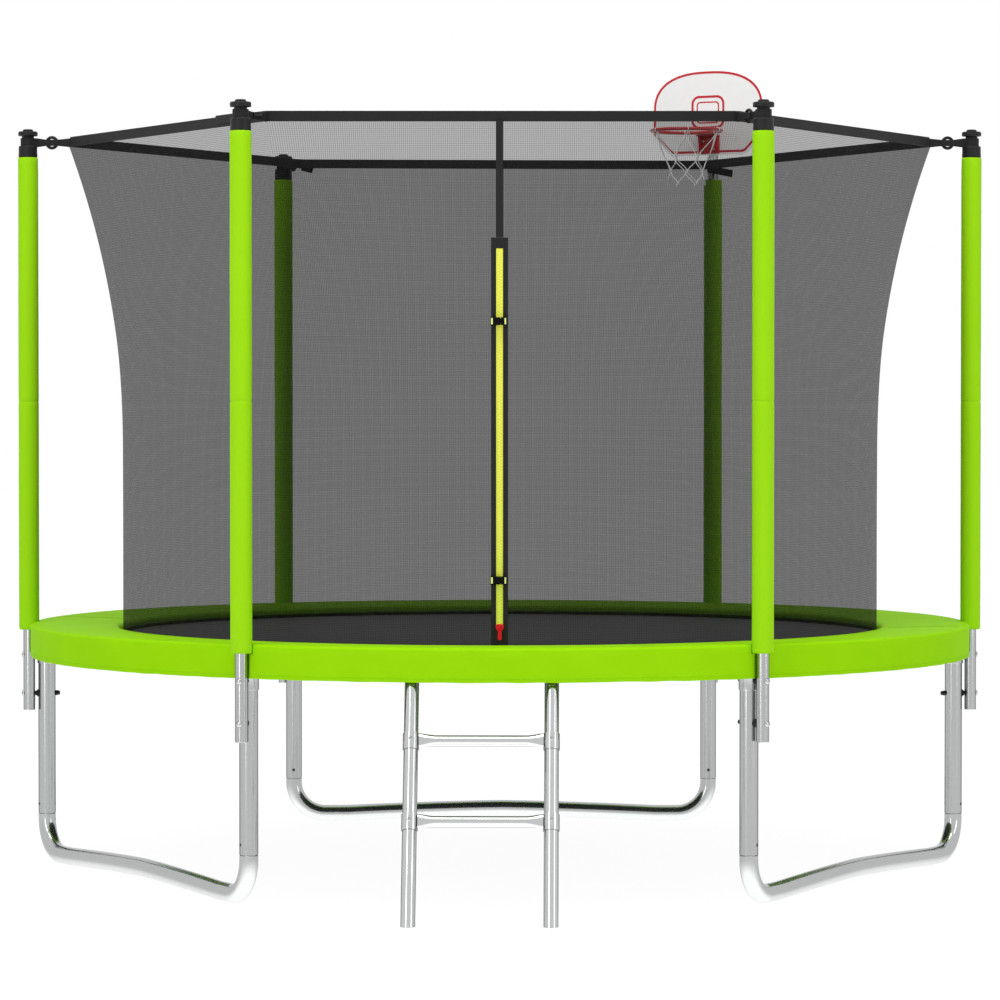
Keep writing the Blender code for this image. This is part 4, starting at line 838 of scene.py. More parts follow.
def padSection(angle):
    inner, soft, bend, cloth = pick(pad, "inner corner outerCorner cloth")
    foamEdge, skirtEdge = besidePole(angle, poles["sleeveRadius"] + 0.0012), besidePole(angle, pad["notch"])
    dent = pad["seamDeep"] * seamDepth(angle)
    ripple = noise.noise(23.4 * polar(angle) + 5 * across)
    puff = pad["puff"] * (roundNoise(angle, 9, 0.0) + ripple / 2)
    shoulder, hem = poles["sleeveBottom"] - 0.0008, pad["hem"] + pad["hemWave"] * ripple
    points = [(inner + dent, pad["lip"]), (inner + dent, padTop(0) - soft)]
    for turn in spread(0, pi / 2, 5)[1:]:
        points.append((inner + soft * (1 - cos(turn)), padTop(0) - soft + soft * sin(turn)))
    for share in spread(0, 1, 12)[1:-1]:
        crown = 4 * share * (1 - share)
        bump = pad["bump"] * roundNoise(angle, 22, 9 * share)
        run = inner + soft + (foamEdge - bend - inner - soft) * share
        points.append((run, padTop(share) + (puff + bump) * crown - dent))
    for turn in spread(0, pi / 2, 6):
        points.append((foamEdge - bend + bend * sin(turn) - dent / 2, padTop(1) - bend + bend * cos(turn)))
    points += [(foamEdge, shoulder + 0.0004), (skirtEdge, shoulder - 0.0004)]
    for share in spread(0, 1, 8)[1:]:
        height = shoulder + (hem - shoulder) * share
        sway = pad["sway"] * share * roundNoise(angle, 30, height * 9)
        if skirtEdge < pad["outer"] - 0.0005:
            flare = min(sway - 0.001 * share, 0.0)
        else:
            flare = sway - 0.0012 * share
        points.append((skirtEdge + flare - dent, height))
    points += [(points[-1][0] - cloth, hem + 0.0006),
               (min(skirtEdge, foamEdge + 0.02) - cloth - 0.0006, shoulder - 0.006),
               (foamEdge - cloth - 0.0004, shoulder - 0.003), (foamEdge - cloth - 0.0004, pad["overRing"]),
               (pad["ringClear"], pad["overRing"]), (pad["ringClear"] - 0.003, pad["low"]),
               (inner + pad["lipWide"], pad["low"])]
    return points


def makePad():
    rows = [[around(angle, *point) for point in padSection(angle)] for angle in padAngles()]
    mesh = meshFrom(skinned(rows, "joined"), "spring pad cover", 50)
    addPiece("spring pad cover", mesh, lime, ["spring_pad"])
    # Painted shade: a black band under the pad's inner rim, where the gap between pad and mat lies in shade.
    build = startMesh()
    low, high = pad["shadeBandLow"], pad["low"] + 0.0006
    path = [around(turn, pad["inner"] + pad["shadeBandIn"], (low + high) / 2) for turn in turns(360)]
    addBand(build, path, high - low, 0.0012, closed=True)
    addPiece("pad binding", build, blackWebbing)


def makePadStitches():
    lines = []
    hem = pad["outer"] + 0.0001, pad["hem"] + 0.011
    # The second row of stitches runs along the black band of painted shade under the inner rim.
    shadeBandSeam = pad["inner"] + pad["shadeBandIn"] - 0.0008, pad["shadeBandLow"] + 0.004
    for radius, height in (hem, shadeBandSeam):        # from pole to pole
        for place in polePlaces:
            first = angleOf(place) + radians(1.6)
            last = first + radians(56.8)
            lines.append([around(turn, radius, height) for turn in spread(first, last, 60)])
    start = pad["inner"] + pad["corner"]
    run = pad["outer"] - pad["outerCorner"] - start
    for middle in seamAngles():
        for angle in (middle - 0.0026, middle + 0.0026):
            lines.append([around(angle, start + run * share, padTop(share) + 0.0004)
                          for share in spread(0, 1, 12)[1:-1]])
    addStitches("pad stitches", lines, limeThread)


# safety net, belt and straps

net = {"radius": 1.2385, "corner": 1.4185, "hoopCorner": 1.495, "fade": 1.0, "bottom": 0.7512,
       "top": 2.3535, "columns": 288, "lines": 64, "slack": 0.002, "pitch": 0.0056, "threadShare": 0.2,
       "threadAlpha": 0.76, "fineAlpha": 0.53, "dark": 0.004, "light": 0.01, "beltBottom": 2.351,
       "beltHeight": 0.032, "beltThickness": 0.0026, "beltSeam": 0.013, "beltBend": 0.02}
netTurn = angleOf(polePlaces[0])


def cornerPoint(index):
    radius = net["hoopCorner"] if index % 6 == hoopSide else net["corner"]
    return radius * polar(netTurn + radians(60) * index).xy


# Round at the pad, and drawn out towards the belt's six corners at the top.
def netRadiusAt(angle, height):
    index = int((angle - netTurn) % (2 * pi) // radians(60))
    start, side = cornerPoint(index), cornerPoint(index + 1) - cornerPoint(index)
    hexagon = start.cross(side) / polar(angle).xy.cross(side)
    share = max(0.0, 1 - (net["top"] - height) / net["fade"]) ** 2
    return net["radius"] + (hexagon - net["radius"]) * share


def makeNet():
    rows = []
    for line in spread(1, 0, net["lines"]):
        share = 1 - line ** 1.5
        height = net["bottom"] + (net["top"] - net["bottom"]) * share
        row = []
        for angle in turns(net["columns"], netTurn):
            slack = net["slack"] * roundNoise(angle, 5, height * 1.5)
            row.append(around(angle, netRadiusAt(angle, height) + slack * sin(pi * share), height))
        rows.append(row)
    build = skinned(rows, "open")
    layer = build.loops.layers.uv["surface"]
    for face in build.faces:
        angles = [(angleOf(loop.vert.co) - netTurn) % (2 * pi) for loop in face.loops]
        wraps = max(angles) - min(angles) > pi
        for loop, angle in zip(face.loops, angles):
            angle += 2 * pi if wraps and angle < pi else 0.0
            loop[layer].uv = (angle * net["radius"], loop.vert.co.z)
    area = sum(face.calc_area() for face in build.faces)
    piece = addPiece("safety net mesh", build, netMaterial(), ["safety_net"])


# A bend between two arms, drawn from the first one's end to the second one's.
def softCorner(corner, before, after, size, steps):
    first, second = size * (before - corner).normalized(), size * (after - corner).normalized()
    return [corner + (1 - share) ** 2 * first + share ** 2 * second for share in spread(0, 1, steps)]


def beltPath(height, inset=0.0):
    soft = net["beltBend"]
    points = []
    for index in range(6):
        before, start, end = [cornerPoint(index + step) for step in (-1, 0, 1)]
        length = (end - start).length
        flats = softCorner(start, before, end, soft, 6)
        for share in spread(0, 1, 20)[1:-1]:
            flats.append(start + (end - start) * (soft + (length - 2 * soft) * share) / length)
        for flat in flats:
            inward = inset * polar(atan2(flat.y, flat.x))
            points.append(hub + Vector((flat.x, flat.y, height)) - inward)
    return points


straps = {"tall": 0.02, "neckTall": 0.03, "beltTall": 0.029, "hoopTall": 0.026, "hoopHolder": 0.0205,
          "thickness": 0.0024, "apart": 0.0025, "ringOut": 0.079, "ringWide": 0.0172, "ringTall": 0.0175,
          "ringBar": 0.005, "flatRing": "front_left", "keeper": 0.02, "height": 2.3645,
          "neckGap": 0.0036, "keeperGap": 0.0032, "endTall": 0.026, "endThickness": 0.003}
# Each loose end: its corner, where it points, start, end, height and droop.
looseEnds = (("front_left", "left", 0.1, 0.325, 0.0075, 0.0),
             ("back_right", "right", 0.008, 0.18, -0.014, 0.026),
             ("back_left", "back_right", 0.004, 0.044, -0.011, 0.01))


# The loop of webbing between a pole's neck and its ring, or between the ring and the belt.
def strapLoop(build, start, aim, aside, first, last, talls, holder=None):
    apart = straps["apart"] * aside
    bar = straps["ringBar"] + straps["thickness"] / 2 + 0.0003
    if holder:
        path = [start + holder * (sin(turn) * aside - cos(turn) * aim)
                for turn in spread(radians(140), radians(-140), 16)]
    else:
        path = [start + first * aim + apart, start + first * aim - apart]
    tall = [talls[0]] * len(path)
    way = 1 if last > first else -1
    bend = [start + (last + way * bar * cos(turn)) * aim + bar * sin(turn) * aside
            for turn in spread(-pi / 2, pi / 2, 8)]
    shares = (0.25, 0.5, 0.75)
    runs = [start + (first + (last - first) * share) * aim for share in shares]
    slopes = [talls[0] + (talls[1] - talls[0]) * share for share in shares]
    path += [point - apart for point in runs] + bend + [point + apart for point in runs[::-1]]
    tall += slopes + [talls[1]] * len(bend) + slopes[::-1]
    addBand(build, path, tall, straps["thickness"], closed=True)


# A bent bar with both ends joined, its section set square to the face that the ring lies in.
def addBentRing(build, ring, face, radius, sides):
    rows = []
    for index, point in enumerate(ring):
        ahead = (ring[(index + 1) % len(ring)] - ring[index - 1]).normalized()
        rows.append(ringPoints(point, ahead.cross(face), face, radius, sides))
    skin(build, rows, "joined")


def makeBelt():
    middle, thick = net["beltBottom"] + net["beltHeight"] / 2, net["beltThickness"]
    ringAt, wide = straps["ringOut"], straps["ringWide"]
    build, rings = startMesh(), startMesh()
    addBand(build, beltPath(middle), net["beltHeight"], thick, closed=True)
    for index, place in enumerate(polePlaces):
        pole = place + straps["height"] * up
        inward = (hub - place).normalized()
        aside = Vector((-inward.y, inward.x, 0))
        reach = (place - hub).length - cornerPoint(index).length
        if index == hoopSide:
            talls = straps["hoopTall"], straps["hoopTall"]
            strapLoop(build, pole, inward, aside, 0.022, reach - 0.006, talls, straps["hoopHolder"])
            continue
        strapLoop(build, pole, inward, aside, 0.028, ringAt - wide, (straps["neckTall"], straps["tall"]),
                  poles["neckRadius"] + straps["neckGap"])
        talls = straps["beltTall"], straps["tall"]
        strapLoop(build, pole, inward, aside, reach + 0.004, ringAt + wide, talls)
        centre = pole + ringAt * inward
        for way in (-1, 1):                      # webbing laid over both faces of the ring
            face = centre + way * (straps["ringBar"] + straps["keeperGap"]) * aside
            run = [face + step * inward for step in spread(-wide - 0.004, wide + 0.004, 4)]
            addBand(build, run, straps["keeper"], straps["thickness"])
        flat = sideNames[index] == straps["flatRing"]
        rise, face = (aside, up) if flat else (up, aside)
        tall = straps["ringTall"]
        ring = [centre + wide * cos(turn) * inward + tall * sin(turn) * rise for turn in turns(32)]
        addBentRing(rings, ring, face, straps["ringBar"], 10)
    addPiece("strap rings", rings, blackPlastic)
    for name, towards, first, last, lift, droop in looseEnds:
        start, end = cornerPoint(sideNames.index(name)), cornerPoint(sideNames.index(towards))
        along = (end - start).normalized().to_3d()
        out = (start + end).normalized().to_3d()
        corner = hub + start.to_3d() + (middle + lift) * up + 0.0036 * out
        path = [corner + (first + (last - first) * share) * along - droop * share * up
                for share in spread(0, 1, 6)]
        addBand(build, path, straps["endTall"], straps["endThickness"])
    addPiece("net belt", build, blackWebbing, ["net_top_band"])
    lines = []
    for offset in (-net["beltSeam"], net["beltSeam"]):
        points = beltPath(middle + offset, -thick / 2 - 0.0003)
        lines.append(points + points[:1])
    addStitches("belt stitches", lines, blackThread)


# door: flap, zipper, slider and buckles

door = {"flapWidth": 0.05, "flapTop": 2.003, "flapThickness": 0.0018, "strapWidth": 0.0212,
        "strapThickness": 0.0014, "tapeWidth": 0.0205, "shift": 0.0022, "tapeStart": 0.029,
        "toothPitch": 0.005, "seams": (-0.0225, -0.013, 0.013, 0.0225)}
flapLow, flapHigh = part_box("door_flap")
zipLow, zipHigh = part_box("door_zipper")


def jointNamed(name):
    return next(joint for joint in frame["joints"] if joint["name"] == name)


# A flat upright strip with soft sides, its back at each (y, height) of a line.
def addStrip(build, middle, line, wide, thick):
    half, soft = wide / 2, wide / 2 + 0.0004
    spots = ((-half, 0), (half, 0), (soft, -thick / 2), (half, -thick), (-half, -thick),
             (-soft, -thick / 2))
    skin(build, [[Vector((middle + x, y + depth, height)) for x, depth in spots] for y, height in line])


def makeDoor():
    back, thick, tapeLow = zipHigh.y + 0.0023, door["flapThickness"], zipLow.z + door["tapeStart"]
    middle = (flapLow.x + flapHigh.x) / 2 + door["shift"]
    build = startMesh()
    heights = spread(flapLow.z, door["flapTop"], 40)
    addStrip(build, middle, [(back - 0.0002, height) for height in heights], door["flapWidth"], thick)
    line = []
    for height in spread(door["flapTop"] + 0.0004, flapHigh.z + 0.0004, 24):
        line.append((min(hub.y - netRadiusAt(-pi / 2, height) - 0.0026, back) - 0.0003, height))
    addStrip(build, middle, line, door["strapWidth"], door["strapThickness"])
    addPiece("door flap cloth", build, blackWebbing, ["door_flap"])
    lines = [[Vector((middle + x, back - thick - 0.0004, height)) for height in heights[1:-1]]
             for x in door["seams"]]
    addStitches("flap stitches", lines, blackThread)
    build = startMesh()
    half = door["tapeWidth"] / 2
    addBlock(build, (middle - half, zipLow.y + 0.0004, tapeLow), (middle + half, zipHigh.y, zipHigh.z),
             0.0003)
    addPiece("zipper tape", build, yellowTape, ["door_zipper"])
    tooth = startMesh()
    addBlock(tooth, (-0.0042, -0.0006, -0.0014), (0.0042, 0.0006, 0.0014), 0.0005, 1)
    spots = []
    for index in range(int((zipHigh.z - tapeLow - 0.01) / door["toothPitch"])):
        aside = 0.0019 if index % 2 else -0.0019
        height = tapeLow + 0.006 + index * door["toothPitch"]
        spots.append((Vector((middle + aside, zipLow.y + 0.0005, height)), up, across))
    addCopies("zipper teeth", tooth, spots, yellowTeeth)


slider = {"width": 0.0275, "shift": 0.0027, "tall": 0.021, "faceIn": 0.0052, "thickness": 0.0045,
          "window": 0.0014, "bar": 0.0016, "pullThickness": 0.0014, "eyeHalf": 0.0042,
          "eyeLow": 0.0295, "eyeHigh": 0.0016}


# Between a circle (power 1) and a square (power near 0).
def squared(value, power):
    return abs(value) ** power * (1 if value >= 0 else -1)


def makeSlider():
    hinge = Vector(jointNamed("pull_hinge")["pos_m"]) + slider["shift"] * across
    width, tall, face, thick = pick(slider, "width tall faceIn thickness")
    half = width / 2
    outline = []
    for turn in turns(32):                       # a shield: wide top, narrower foot
        x, z = squared(cos(turn), 0.625), squared(sin(turn), 0.625)
        outline.append((half * x * (0.86 + 0.14 * z), tall / 2 * z))
    rows = []
    for inset, depth in ((0.0012, face), (0.0003, face + 0.0006), (0.0, face + 0.0014),
                         (0.0, face + thick - 0.001), (0.001, face + thick)):
        grow = 1 - inset / half
        rows.append([hinge + Vector((x * grow, depth, z * grow)) for x, z in outline])
    build = startMesh()
    skin(build, rows)
    reach, root = slider["window"] + slider["bar"] / 2, face + 0.001
    bend = reach * 0.8
    loop = ((root, reach), (0, reach), (-bend, bend), (-reach, 0), (-bend, -bend), (0, -reach),
            (root, -reach))
    skin(build, ringsAlong([hinge + Vector((0, y, z)) for y, z in loop], slider["bar"] / 2, 8))
    addPiece("zip slider body", build, pullRed, ["zip_slider"], "slider")
    low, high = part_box("zip_pull")
    half, thick = (high.x - low.x) / 2, slider["pullThickness"] / 2
    middle, tall = (low.z + high.z) / 2, (high.z - low.z) / 2
    eyeLow, eyeHigh = low.z + slider["eyeLow"], high.z - slider["eyeHigh"]
    outer, inner = [], []
    for turn in turns(40):
        x, z = squared(cos(turn), 0.5), squared(sin(turn), 0.5)
        outer.append((half * x * (0.8 + 0.2 * max(-z, 0)), middle + tall * z))
        inner.append((slider["eyeHalf"] * x, (eyeLow + eyeHigh) / 2 + (eyeHigh - eyeLow) / 2 * z))
    rows = []
    for outline, depth in ((outer, -thick), (outer, thick), (inner, thick), (inner, -thick)):
        rows.append([Vector((hinge.x + x, hinge.y + depth, z)) for x, z in outline])
    build = startMesh()
    skin(build, rows, "joined")
    addPiece("zip pull tab", build, pullRed, ["zip_pull"], "pull")


buckle = {"thickness": 0.0085, "split": 0.0006, "ribAside": 0.0075, "ribHalf": 0.0012, "ribRaise": 0.0007,
          "bar": 0.0105, "barRaise": 0.0006, "barOver": 0.0015, "foot": 0.005, "tongueHalf": 0.0072,
          "webbingHalf": 0.0095, "webbing": {"socket": (0.0014, 0.0071), "clip": (0.003, 0.0079)}}


# A half's body, the foot behind its outer end and the thicker bar there. Way points to the split.
def startBuckleHalf(outer, split, way, low, high, front, back):
    raised, over = front - buckle["barRaise"], buckle["barOver"]
    build = startMesh()
    addBlock(build, (split, front, low.z), (outer, back, high.z), 0.0016)
    addBlock(build, (outer, back - 0.002, low.z), (outer + way * buckle["foot"], high.y, high.z), 0.0008)
    addBlock(build, (outer, raised, low.z - over),
             (outer + way * buckle["bar"], back - 0.001, high.z + over), 0.0012)
    return build


def makeBuckles():
    wide, rib, tongue = buckle["webbingHalf"], buckle["ribHalf"], buckle["tongueHalf"]
    for name in ("upper", "lower"):
        low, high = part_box(f"buckle_socket_{name}")
        clipLow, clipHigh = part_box(f"buckle_clip_{name}")
        front, back, split = low.y, low.y + buckle["thickness"], high.x + buckle["split"]
        socket = startBuckleHalf(low.x, high.x, 1, low, high, front, back)
        middle = (low.z + high.z) / 2
        for z in (middle + buckle["ribAside"], middle - buckle["ribAside"]):
            addBlock(socket, (low.x + 0.004, front - buckle["ribRaise"], z - rib),
                     (high.x - 0.004, front + 0.002, z + rib), rib / 2, 1)
        addPiece(f"buckle socket {name}", socket, buckleBlack, [f"buckle_socket_{name}"])
        clip = startBuckleHalf(clipHigh.x, split, -1, clipLow, clipHigh, front, back)
        middle, depth = (clipLow.z + clipHigh.z) / 2, (front + back) / 2
        addBlock(clip, (clipLow.x + 0.0004, depth - 0.0018, middle - tongue),
                 (split + 0.004, depth + 0.0018, middle + tongue), 0.0008)
        addPiece(f"buckle clip {name}", clip, buckleBlack, [f"buckle_clip_{name}"], f"clip_{name}")
        for part, outer, way, body in (("socket", low.x, 1, "frame"),
                                       ("clip", clipHigh.x, -1, f"clip_{name}")):
            left, right = [outer + way * inset for inset in buckle["webbing"][part]]
            web = startMesh()
            addBlock(web, (left, front - 0.0016, middle - wide), (right, front - 0.0002, middle + wide),
                     0.0004, 1)
            addPiece(f"{part} webbing {name}", web, limeWebbing, body=body)


# ladder

ladder = {"railRadius": 0.0215, "wall": 0.0015, "inset": 0.0215, "turn": radians(0.9), "halfWidth": 0.206,
          "rungRadius": 0.0168, "rungHeights": {"upper": 0.517, "lower": 0.29}, "footOut": 0.30674,
          "saddleTall": 0.043, "saddleLip": 0.0075, "flare": 0.048, "hookInner": 0.0325,
          "hookThick": 0.003, "hookWide": 0.02, "hookFoot": 0.06,
          "screw": [(0.006, -0.001), (0.006, 0.0006), (0.0048, 0.0022), (0.0028, 0.003),
                    (0.002, 0.0016), (0.0006, 0.0015)]}
swing = jointNamed("ladder_swing")
ladderHinge = Vector(swing["pos_m"])
sideways = Matrix.Rotation(ladder["turn"], 3, "Z") @ -Vector(swing["axis"]).normalized()
footAim = sideways.cross(up)
lean = (atan2(ladder["footOut"], ladderHinge.z)
        + asin(ladder["inset"] / hypot(ladder["footOut"], ladderHinge.z)))
downRail = (footAim * sin(lean) - up * cos(lean)).normalized()
outward = (footAim * cos(lean) + up * sin(lean)).normalized()


# Slides points along the rail's line until they stand at one height.
def dropTo(points, height):
    return [point - downRail * ((point.z - height) / downRail.z) for point in points]


def makeLadderRails():
    radius, inset, hookInner, thick = pick(ladder, "railRadius inset hookInner hookThick")
    hookOuter, weld, half = hookInner + thick, radius - inset - 0.0008, ladder["hookWide"] / 2
    hook = [(weld, ladder["hookFoot"]), (weld + thick, ladder["hookFoot"])]
    last = radians(128) + lean
    for size, first, end in ((hookOuter, asin((weld + thick) / hookOuter), last), (hookInner, last, 0)):
        hook += [(size * sin(turn), size * cos(turn)) for turn in spread(first, end, 20)]
    hook.append((weld, hookInner))
    for name, sign in (("left", -1), ("right", 1)):
        base = ladderHinge + sign * ladder["halfWidth"] * sideways
        centre = base - inset * outward
        length = (centre.z - 0.0012) / -downRail.z
        foot = centre + downRail * (length - radius * sin(lean) * 0.3)
        rows = ringsAlong(spread(centre + hookInner * downRail, foot, 10), radius, 28, sideways)
        floorRow = dropTo(rows[-1], 0.0004)
        middle = sum(floorRow, Vector()) / len(floorRow)
        inner = [middle + (corner - middle) * ((radius - ladder["wall"]) / radius) for corner in floorRow]
        build = startMesh()
        skin(build, rows[:-1] + [floorRow, inner, [corner - 0.02 * downRail for corner in inner]])
        skin(build, [[base + x * outward + z * downRail + depth * sideways for x, z in hook]
                     for depth in (-half, half)])
        addPiece(f"ladder rail {name}", build, ladderSteel, [f"ladder_rail_{name}"], "ladder")
        build = startMesh()
        plug = [middle - downRail * 0.004 + (corner - middle) * 0.9 for corner in floorRow]
        skin(build, [plug, dropTo(plug, 0.0008)])
        addPiece(f"rail foot plug {name}", build, blackPlastic, body="ladder")


# Each rung is a round bar that is pressed flat and tall towards the rails, with a saddle round each rail.
def makeRungs():
    radius, inset, rung, tall = pick(ladder, "railRadius inset rungRadius saddleTall")
    reach, half, deep = ladder["halfWidth"] - radius - 0.0016, tall / 2, tall / 2 + ladder["saddleLip"]
    stations = [(-reach, 1.0), (-reach + 0.006, 0.97), (-reach + 0.016, 0.72), (-reach + 0.028, 0.38),
                (-reach + 0.04, 0.12), (-reach + ladder["flare"], 0.0), (-reach * 0.5, 0.0), (0.0, 0.0)]
    stations += [(-x, flat) for x, flat in reversed(stations[:-1])]
    saddle = []
    for wide, order in ((radius + 0.0004, 1), (radius + 0.0028, -1)):
        saddle += [(wide * sin(turn), wide * cos(turn))
                   for turn in spread(radians(-100), radians(100), 20)[::order]]
    screws = []
    for name, height in ladder["rungHeights"].items():
        distance = (ladderHinge.z - height - inset * sin(lean)) / cos(lean)
        centre = ladderHinge + distance * downRail - inset * outward
        rows = []
        for x, flat in stations:
            tallHalf, deepHalf = rung + flat * (half - 0.001 - rung), rung * (1 - 0.62 * flat)
            middle = centre + x * sideways + flat * radius * 0.45 * outward
            rows.append([middle + tallHalf * sin(turn) * downRail + deepHalf * cos(turn) * outward
                         for turn in turns(28)])
        build = startMesh()
        skin(build, rows)
        for sign in (-1, 1):
            base = centre + sign * ladder["halfWidth"] * sideways
            rows = []
            for depth, grow in ((-half, 0.9994), (0.0006 - half, 1), (deep - 0.0006, 1), (deep, 0.9994)):
                rows.append([base + x * grow * sideways + y * grow * outward + depth * downRail
                             for x, y in saddle])
            skin(build, rows)
            screws.append((base + (radius + 0.0024) * outward, outward, up))
        addPiece(f"ladder rung {name}", build, ladderSteel, [f"ladder_rung_{name}"], "ladder")
    addCopies("rung screws", turnedPart(ladder["screw"], 16), screws, brightSteel, body="ladder")


# basketball hoop

hoop = {"stemRadius": 0.0175, "stemTop": 2.478, "boardHalf": 0.2275, "boardLow": 2.405, "boardHigh": 2.7144,
        "shoulder": 2.565, "chamfer": 0.077, "archPower": 0.8, "thickness": 0.006, "lineInset": 0.0076,
        "lineWide": 0.0082, "lineRaise": 0.0007, "shift": -0.0085, "plateShift": 0.006, "rimRadius": 0.1248,
        "rimBar": 0.0063, "rimOut": 0.169, "bracketWide": 0.084, "bracketLow": 2.409, "bracketHigh": 2.4765,
        "bracketDeep": 0.028, "netLow": 2.29, "netLowRadius": 0.066, "loops": 6,
        "rowEnds": (0.0, 0.52, 0.76, 1.0), "cord": 0.0017, "knot": 0.0024,
        "squares": (((0.0665, 2.5, 2.6195, 0.03), (0.058, 2.5085, 2.611, 0.0225)),
                    ((0.0455, 2.519, 2.598, 0.014), (0.0405, 2.524, 2.593, 0.01))),
        "screw": [(0.0052, -0.0008), (0.0052, 0.0006), (0.0042, 0.0024), (0.0022, 0.0032), (0.0005, 0.0033)]}
inward = (hub - polePlaces[hoopSide]).normalized()
aside = Vector((-inward.y, inward.x, 0))
boardPlace = polePlaces[hoopSide] + hoop["shift"] * aside
boardBack = hoop["stemRadius"] + 0.0006
boardFace = boardBack + hoop["thickness"]


def boardSpot(x, depth, z):
    return boardPlace + x * aside + depth * inward + z * up


# Rows of board points, from pairs of an outline and its depth.
def boardRows(*layers):
    return [[boardSpot(x, depth, z) for x, z in outline] for outline, depth in layers]


def boardOutline(inset=0.0):
    wide, low, high = hoop["boardHalf"] - inset, hoop["boardLow"] + inset, hoop["boardHigh"] - inset
    chamfer = hoop["chamfer"] - inset * 0.6
    corners = [Vector(corner) for corner in ((-wide, low + chamfer), (chamfer - wide, low),
                                             (wide - chamfer, low), (wide, low + chamfer))]
    points = corners[:1] + softCorner(corners[1], corners[0], corners[2], 0.012, 5)
    points += softCorner(corners[2], corners[1], corners[3], 0.012, 5) + corners[3:]
    for turn in spread(0, pi, 40):
        height = hoop["shoulder"] + (high - hoop["shoulder"]) * squared(sin(turn), hoop["archPower"])
        points.append((wide * squared(cos(turn), hoop["archPower"]), height))
    return points


def roundedRectangle(half, low, high, corner):
    points = []
    for x, z, start in ((half - corner, high - corner, 0), (corner - half, high - corner, 90),
                        (corner - half, low + corner, 180), (half - corner, low + corner, 270)):
        points += [(x + corner * cos(turn), z + corner * sin(turn))
                   for turn in spread(radians(start), radians(start + 90), 8)]
    return points


def makeBoard():
    face, raised, pole = boardFace, hoop["lineRaise"], polePlaces[hoopSide]
    low, high = poles["sleeveTop"] - 0.0002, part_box("pole_back_right")[1].z
    build = startMesh()
    stem = [pole + height * up for height in spread(low - 0.03, hoop["stemTop"], 4)]
    addTube(build, stem, hoop["stemRadius"], 0.0015)
    sleeve = [pole + height * up for height in (low - 0.01, (low + high) / 2, high)]
    addTube(build, sleeve, poles["radius"] - 0.0002, 0.0014)
    addPiece("hoop stem tube", build, steel, ["hoop_stem"])
    whole, narrow = boardOutline(), boardOutline(0.0014)
    build = startMesh()
    skin(build, boardRows((narrow, boardBack), (whole, boardBack + 0.0012), (whole, face - 0.0012),
                          (narrow, face)))
    addPiece("hoop board panel", build, boardPlastic, ["hoop_board"])
    build = startMesh()
    filmed = boardOutline(hoop["lineInset"] + hoop["lineWide"] / 2)
    skin(build, boardRows((filmed, face - 0.0004), (filmed, face + raised / 2)))
    addPiece("board film", build, boardFilm)
    build = startMesh()
    frames = [(boardOutline(hoop["lineInset"]), boardOutline(hoop["lineInset"] + hoop["lineWide"]))]
    frames += [[roundedRectangle(*sizes) for sizes in pair] for pair in hoop["squares"]]
    for outer, inner in frames:
        skin(build, boardRows((outer, face - 0.0003), (outer, face + raised), (inner, face + raised),
                              (inner, face - 0.0003)), "joined")
    addPiece("board lines", build, redPrint)


def makeBracket():
    face, (low, high, shift) = boardFace, pick(hoop, "bracketLow bracketHigh plateShift")
    half, front = hoop["bracketWide"] / 2, face + 0.0004 + hoop["bracketDeep"]
    turn = Matrix((aside, -inward, up)).transposed().to_4x4()
    turn.translation = boardSpot(shift, 0, 0)
    build = startMesh()
    addBlock(build, (-half, -face - 0.0044, low), (half, -face - 0.0004, high), 0.001, turn=turn)
    side = [(face + 0.003, low + 0.004), (face + 0.012, low + 0.004), (front, high - 0.02), (front, high),
            (face + 0.003, high)]
    for sign in (-1, 1):                         # two side gussets under the rim plate
        gusset = shift + sign * (half - 0.012)
        skin(build, [[boardSpot(x, depth, z) for depth, z in side]
                     for x in (gusset - 0.0016, gusset + 0.0016)])
    addBlock(build, (-half, -front, high - 0.004), (half, -face - 0.003, high), 0.001, turn=turn)
    addPiece("hoop bracket plate", build, redPaint, ["hoop_bracket"])
    spots = []
    for x in (shift - 0.022, shift + 0.022):
        for z in (low + 0.016, high - 0.022):
            spots.append((boardSpot(x, face + 0.0042, z), inward, up))
    addCopies("bracket screws", turnedPart(hoop["screw"], 14), spots, brightSteel)


# A round bar bent to a circle in the plane of two arrows, square to the axis.
def addCircle(build, middle, first, second, axis, wide, radius, steps, sides):
    rows = []
    for turn in turns(steps):
        out = cos(turn) * first + sin(turn) * second
        rows.append(ringPoints(middle + wide * out, out, axis, radius, sides))
    skin(build, rows, "joined")


rimHeight = hoop["bracketHigh"] + 0.0003 + hoop["rimBar"]
rimMiddle = boardSpot(0, boardFace + hoop["rimOut"], rimHeight)


def makeRim():
    radius, half, face = hoop["rimRadius"], hoop["bracketWide"] / 2 * 0.95, boardFace
    build = startMesh()
    addCircle(build, rimMiddle, aside, inward, up, radius, hoop["rimBar"], 64, 12)
    arm = []
    for turn in spread(radians(-18), radians(18), 8):
        arm.append((radius * sin(turn), face + hoop["rimOut"] - radius * cos(turn)))
    arm += [(half, face + 0.01), (half, face + 0.0006), (-half, face + 0.0006), (-half, face + 0.01)]
    layers = ((-0.0038, 0.985), (-0.003, 1.0), (0.003, 1.0), (0.0038, 0.985))
    skin(build, [[boardSpot(x * grow, depth, rimHeight + z) for x, depth in arm] for z, grow in layers])
    addPiece("hoop rim ring", build, redPaint, ["hoop_rim"])


def hoopNetPoint(turn, share):
    low, top = hoop["netLowRadius"], rimHeight - hoop["rimBar"] - 0.0006
    radius = low + (hoop["rimRadius"] - low) * max(0.0, 1 - share / 0.62) ** 1.15
    place = rimMiddle + radius * (cos(turn) * aside + sin(turn) * inward)
    place.z = top + (hoop["netLow"] - top) * share
    return place


